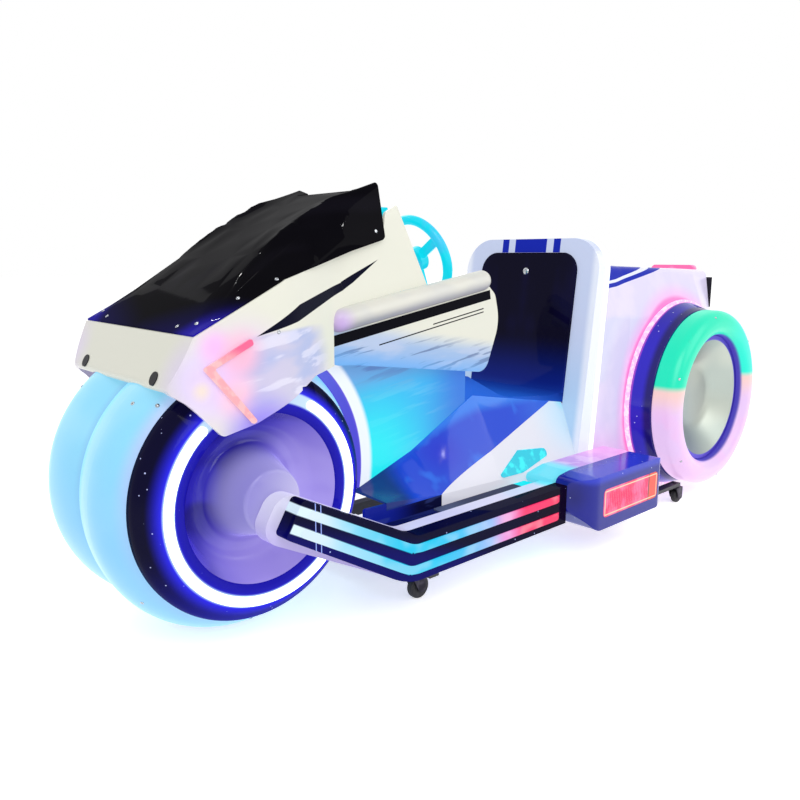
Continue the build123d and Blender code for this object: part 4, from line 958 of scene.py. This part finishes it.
def ribbed_lenses(material):
    """Red lenses with half-round ribs that rise to the height of the frame node's face; they stand for it."""
    low, high = LENS_LOW, LENS_HIGH
    rise, pitch, rim = 1.4 * MM, sizes().rib_pitch, 11 * MM
    mesh = bmesh.new()
    mesh.from_mesh(NODES["box_lenses"].data)
    bmesh.ops.remove_doubles(mesh, verts=mesh.verts, dist=0.02 * MM)
    for vertex in mesh.verts:
        if abs(vertex.co.y) > high.y - 0.1 * MM:
            vertex.co.y -= math.copysign(rise, vertex.co.y)
    lens_faces = set(mesh.faces)
    for side in (-1, 1):
        x = AMBER_END + 3 * MM + pitch / 2
        while x < high.x - rim:
            rib = bmesh.ops.create_uvsphere(mesh, u_segments=10, v_segments=10, radius=1)["verts"]
            half = (high.z - low.z) / 2 - rim
            for vertex in rib:
                vertex.co = (x + vertex.co.x * pitch * 0.42, side * (high.y - rise + vertex.co.y * rise),
                             centre("box_lenses").z + vertex.co.z * half)
            x += pitch
    bmesh.ops.recalc_face_normals(mesh, faces=mesh.faces)
    for face in mesh.faces:
        face.smooth = face not in lens_faces
    piece = new_piece("ribbed_lenses", finished(mesh, "ribbed_lenses"), material, "frame")
    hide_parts("box_lenses")
    return piece


# ------------------------------------------------------------------- operators
class CAR_OT_front_wheel(bpy.types.Operator):
    """Finish the front dummy wheel and add its screws"""

    bl_idname = "car.front_wheel"
    bl_label = "Front Wheel"

    def execute(self, context):
        dress(backlit_tyre(), "front_tyre_shell")
        dress(flake_ring(), "front_side_rings")
        strip = strip_light("Silicone, white light strip", "#dcf0ff", "#f4faff", light().strip)
        dress(strip, "front_led_rings")
        dress(pearl_dish(), "front_dishes")
        spots = []
        for side in (-1, 1):
            for angle, reach in TYRE_SCREWS:
                start = FRONT_AXLE + spoke(angle)
                start.y = side * reach
                spots.append(land("front_tyre_shell", start, -spoke(angle)))
        dome_screws("tyre_screws", spots)
        return {"FINISHED"}


class CAR_OT_cowl(bpy.types.Operator):
    """Finish the cowl, its plugs and arrowhead lamps"""

    bl_idname = "car.cowl"
    bl_label = "Cowl"

    def execute(self, context):
        dress(cream_cowl(), "cowl")
        dress(black_nylon(), "nose_plugs")
        dress(arrow_strips(), "chevron_leds")
        x, z = COWL_SCREW
        spots = [land("cowl", (x, side, z), (0, -side, 0)) for side in (-1, 1)]
        dome_screws("cowl_screws", spots)
        dress(lit_wheel(), "dash_panel")
        return {"FINISHED"}


class CAR_OT_hood(bpy.types.Operator):
    """Finish the hood and add the screws along its flange"""

    bl_idname = "car.hood"
    bl_label = "Hood"

    def execute(self, context):
        hood = moulded("hood", black_hood(), 60)
        spots = []
        for side in (-1, 1):
            for x, z in HOOD_SIDE_SCREWS:
                spots.append(land(hood, (x, side, z), (0, -side, 0)))
            for x, y in HOOD_NOSE_SCREWS:
                spots.append(land(hood, (x, side * y, 1.0), (0, 0, -1)))
        dome_screws("hood_screws", spots)
        return {"FINISHED"}


class CAR_OT_tank(bpy.types.Operator):
    """Finish the tank and its knee rolls"""

    bl_idname = "car.tank"
    bl_label = "Tank"

    def execute(self, context):
        dress(cream_tank(), "tank_shell")
        dress(cream_roll(), "knee_rolls")
        return {"FINISHED"}


class CAR_OT_flanks(bpy.types.Operator):
    """Finish the centre body, saddle, skirts, steps and side lamps"""

    bl_idname = "car.flanks"
    bl_label = "Flanks"

    def execute(self, context):
        dress(lit_flank(), "tunnel")
        moulded("saddle_body", blue_saddle(), 40)
        dress(white_skirt(), "side_skirts")
        dress(navy_riser(), "sill_risers")
        dress(deck_coat(), "decks")
        dress(grey_pad(), "step_pads")
        dress(teardrop_lens(), "skirt_lenses")
        return {"FINISHED"}


class CAR_OT_bumpers(bpy.types.Operator):
    """Finish the side bumpers, their light strips and lamp boxes"""

    bl_idname = "car.bumpers"
    bl_label = "Bumpers"

    def execute(self, context):
        dress(bumper_coat(), "bumper_bars")
        dress(base_coat(), "bumper_bases")
        dress(running_strips(), "bumper_leds")
        dress(box_coat(), "light_boxes")
        ribbed_lenses(red_lens())
        return {"FINISHED"}


class CAR_OT_seat(bpy.types.Operator):
    """Finish the seat arch, its light band and the backrest"""

    bl_idname = "car.seat"
    bl_label = "Seat"

    def execute(self, context):
        dress(white_arch(), "seat_rim")
        button = land("seat_shell", (0.2, 0, SEAT_TOP - 0.10), (-1, 0, 0))
        dome_screws("backrest_button", [button], radius=12 * MM)
        dress(backrest_coat(), "seat_shell")
        dress(strip_light("Opal acrylic, light band", "#e8f2ff", "#ffffff", 1.3), "seat_led_trim")
        return {"FINISHED"}


class CAR_OT_rear(bpy.types.Operator):
    """Finish the tail, its wheels, lamp and rubbing bar"""

    bl_idname = "car.rear"
    bl_label = "Rear"

    def execute(self, context):
        dress(tail_coat(), "rear_body")
        dress(fender_coat(), "rear_fender_rings")
        dress(two_tone_ring(), "rear_lit_rings")
        dress(strip_light("Silicone, blush light strip", "#ffb8e8", "#ffdcf4", 1.1), "rear_led_rings")
        dress(spun_hub(), "rear_hub_dishes")
        dress(tail_light(), "tail_lamp")
        dress(black_nylon(), "rear_bar")
        spots = []
        for side in (-1, 1):
            for angle in RING_SCREW_ANGLES:
                start = REAR_AXLE + spoke(angle) * (LIT_RING_R - 16 * MM) + Vector((0, side, 0))
                spots.append(land("rear_lit_rings", start, (0, -side, 0)))
        dome_screws("lit_ring_screws", spots)
        return {"FINISHED"}


class CAR_OT_steering(bpy.types.Operator):
    """Finish the steering wheel and its column"""

    bl_idname = "car.steering"
    bl_label = "Steering"

    def execute(self, context):
        dress(lit_wheel(), "steering_wheel")
        dress(black_nylon(), "steering_column")
        return {"FINISHED"}


class CAR_OT_running_gear(bpy.types.Operator):
    """Finish the frame, battery, drive unit and castors"""

    bl_idname = "car.running_gear"
    bl_label = "Running Gear"

    def execute(self, context):
        forks = [name for name in NODES if name.startswith("castor_fork")]
        rollers = [name for name in NODES if name.startswith("castor_wheel")]
        dress(powder_coat(), "chassis_frame", "drive_fork")
        dress(battery_case(), "battery_block")
        dress(black_nylon(), "drive_hub")
        dress(solid_tyre(), "drive_tyre", *rollers)
        dress(zinc_plate(), *forks)
        return {"FINISHED"}


class CAR_OT_stage(bpy.types.Operator):
    """Make the white floor, the room's light, the lamps and the camera"""

    bl_idname = "car.stage"
    bl_label = "Stage"

    def execute(self, context):
        scene = context.scene
        scene.view_settings.view_transform = "Standard"
        floor_mesh = bpy.data.meshes.new("studio_floor")
        corners = [(x * FLOOR_REACH, y * FLOOR_REACH, 0) for x, y in ((-1, -1), (1, -1), (1, 1), (-1, 1))]
        floor_mesh.from_pydata(corners, [], [(0, 1, 2, 3)])
        floor = bpy.data.objects.new("studio_floor", floor_mesh)
        scene.collection.objects.link(floor)
        floor_mesh.materials.append(studio_floor())
        scene.world = studio_world()
        for name, spot, width, share in SOFT_LAMPS:
            soft_lamp(name, spot, width, light().key * share)
        for spot in SPARK_SPOTS:
            spark_lamp(spot)
        scene.camera = viewer()
        return {"FINISHED"}


def seen_directly(shader):
    """Mask that is 1 for what the camera sees straight, in a mirror or through glass."""
    path = add("ShaderNodeLightPath", beside=shader).outputs
    return either(path["Is Camera Ray"], path["Is Glossy Ray"], path["Is Transmission Ray"])


def studio_floor():
    """White paint, rolled: it stays white for the camera and keeps the car's shadow."""
    material, shader = surface("Paint, white, floor", Roughness=0.9, IOR=1.45, Specular_IOR_Level=0.0)
    where = add("ShaderNodeTexCoord", beside=shader).outputs["Object"]
    feed(shader, "Base Color", mottled(where, 0.8, 0.4, 0.6, "#fdfdfd", "#ffffff"))
    feed(shader, "Emission Color", layered(BLACK, (seen_directly(shader), (1, 1, 1))))
    shader.inputs["Emission Strength"].default_value = 0.55
    return material


def studio_world():
    """Even pale room; it is pure white where it is seen directly or mirrored."""
    world = bpy.data.worlds.new("Studio room")
    world.use_nodes = True
    room = world.node_tree.nodes["Background"]
    strength = add("ShaderNodeMapRange",
                   {"Value": seen_directly(room), "To Min": light().room, "To Max": 1.0})
    feed(room, "Strength", strength.outputs[0])
    room.inputs["Color"].default_value = (1, 1, 1, 1)
    return world


def placed(name, data, spot, aim=None):
    """Puts a lamp or camera at a spot, turned to face along aim."""
    item = bpy.data.objects.new(name, data)
    bpy.context.scene.collection.objects.link(item)
    item.location = spot
    if aim is not None:
        item.rotation_mode = "QUATERNION"
        item.rotation_quaternion = aim.to_track_quat("-Z", "Y")
    return item


def soft_lamp(name, spot, width, power):
    """Square soft lamp that faces the middle of the car."""
    data = bpy.data.lights.new(name, "AREA")
    data.size, data.energy = width, power
    return placed(name, data, spot, (CAR_LOW + CAR_HIGH) / 2 - Vector(spot))


def spark_lamp(spot):
    """Small bare lamp that gives the gloss its sharp points of light."""
    data = bpy.data.lights.new("spark_lamp", "POINT")
    data.shadow_soft_size, data.energy = 0.014, light().spark
    return placed("spark_lamp", data, spot)


def viewer():
    """Camera ahead of the car's left side, looking back and a little down."""
    data = bpy.data.cameras.new("viewer")
    data.lens, data.sensor_width = LENS, 36.0
    ahead = Vector((math.cos(EYE_YAW), math.sin(EYE_YAW), -math.tan(EYE_PITCH))).normalized()
    return placed("viewer", data, EYE, ahead)


PIECES = (CAR_OT_front_wheel, CAR_OT_cowl, CAR_OT_hood, CAR_OT_tank, CAR_OT_flanks, CAR_OT_bumpers,
          CAR_OT_seat, CAR_OT_rear, CAR_OT_steering, CAR_OT_running_gear, CAR_OT_stage)


class CAR_PT_panel(bpy.types.Panel):
    """The car's pieces, sizes and colours"""

    bl_idname = "CAR_PT_panel"
    bl_label = "Bumper Car"
    bl_space_type = "VIEW_3D"
    bl_region_type = "UI"
    bl_category = "Bumper Car"

    def draw(self, context):
        for group in (context.scene.car_sizes, context.scene.car_colours, context.scene.car_light):
            box = self.layout.box()
            for name in group.bl_rna.properties.keys():
                if name not in ("rna_type", "name"):
                    box.prop(group, name)
        for piece in PIECES:
            self.layout.operator(piece.bl_idname)


CLASSES = (CarColours, CarSizes, CarLight, *PIECES, CAR_PT_panel)


def register():
    for cls in CLASSES:
        bpy.utils.register_class(cls)
    bpy.types.Scene.car_colours = PointerProperty(type=CarColours)
    bpy.types.Scene.car_sizes = PointerProperty(type=CarSizes)
    bpy.types.Scene.car_light = PointerProperty(type=CarLight)


def unregister():
    del bpy.types.Scene.car_light
    del bpy.types.Scene.car_sizes
    del bpy.types.Scene.car_colours
    for cls in reversed(CLASSES):
        bpy.utils.unregister_class(cls)


def main():
    register()
    for piece in PIECES:
        group, name = piece.bl_idname.split(".")
        getattr(getattr(bpy.ops, group), name)()


if __name__ == "__main__":
    main()
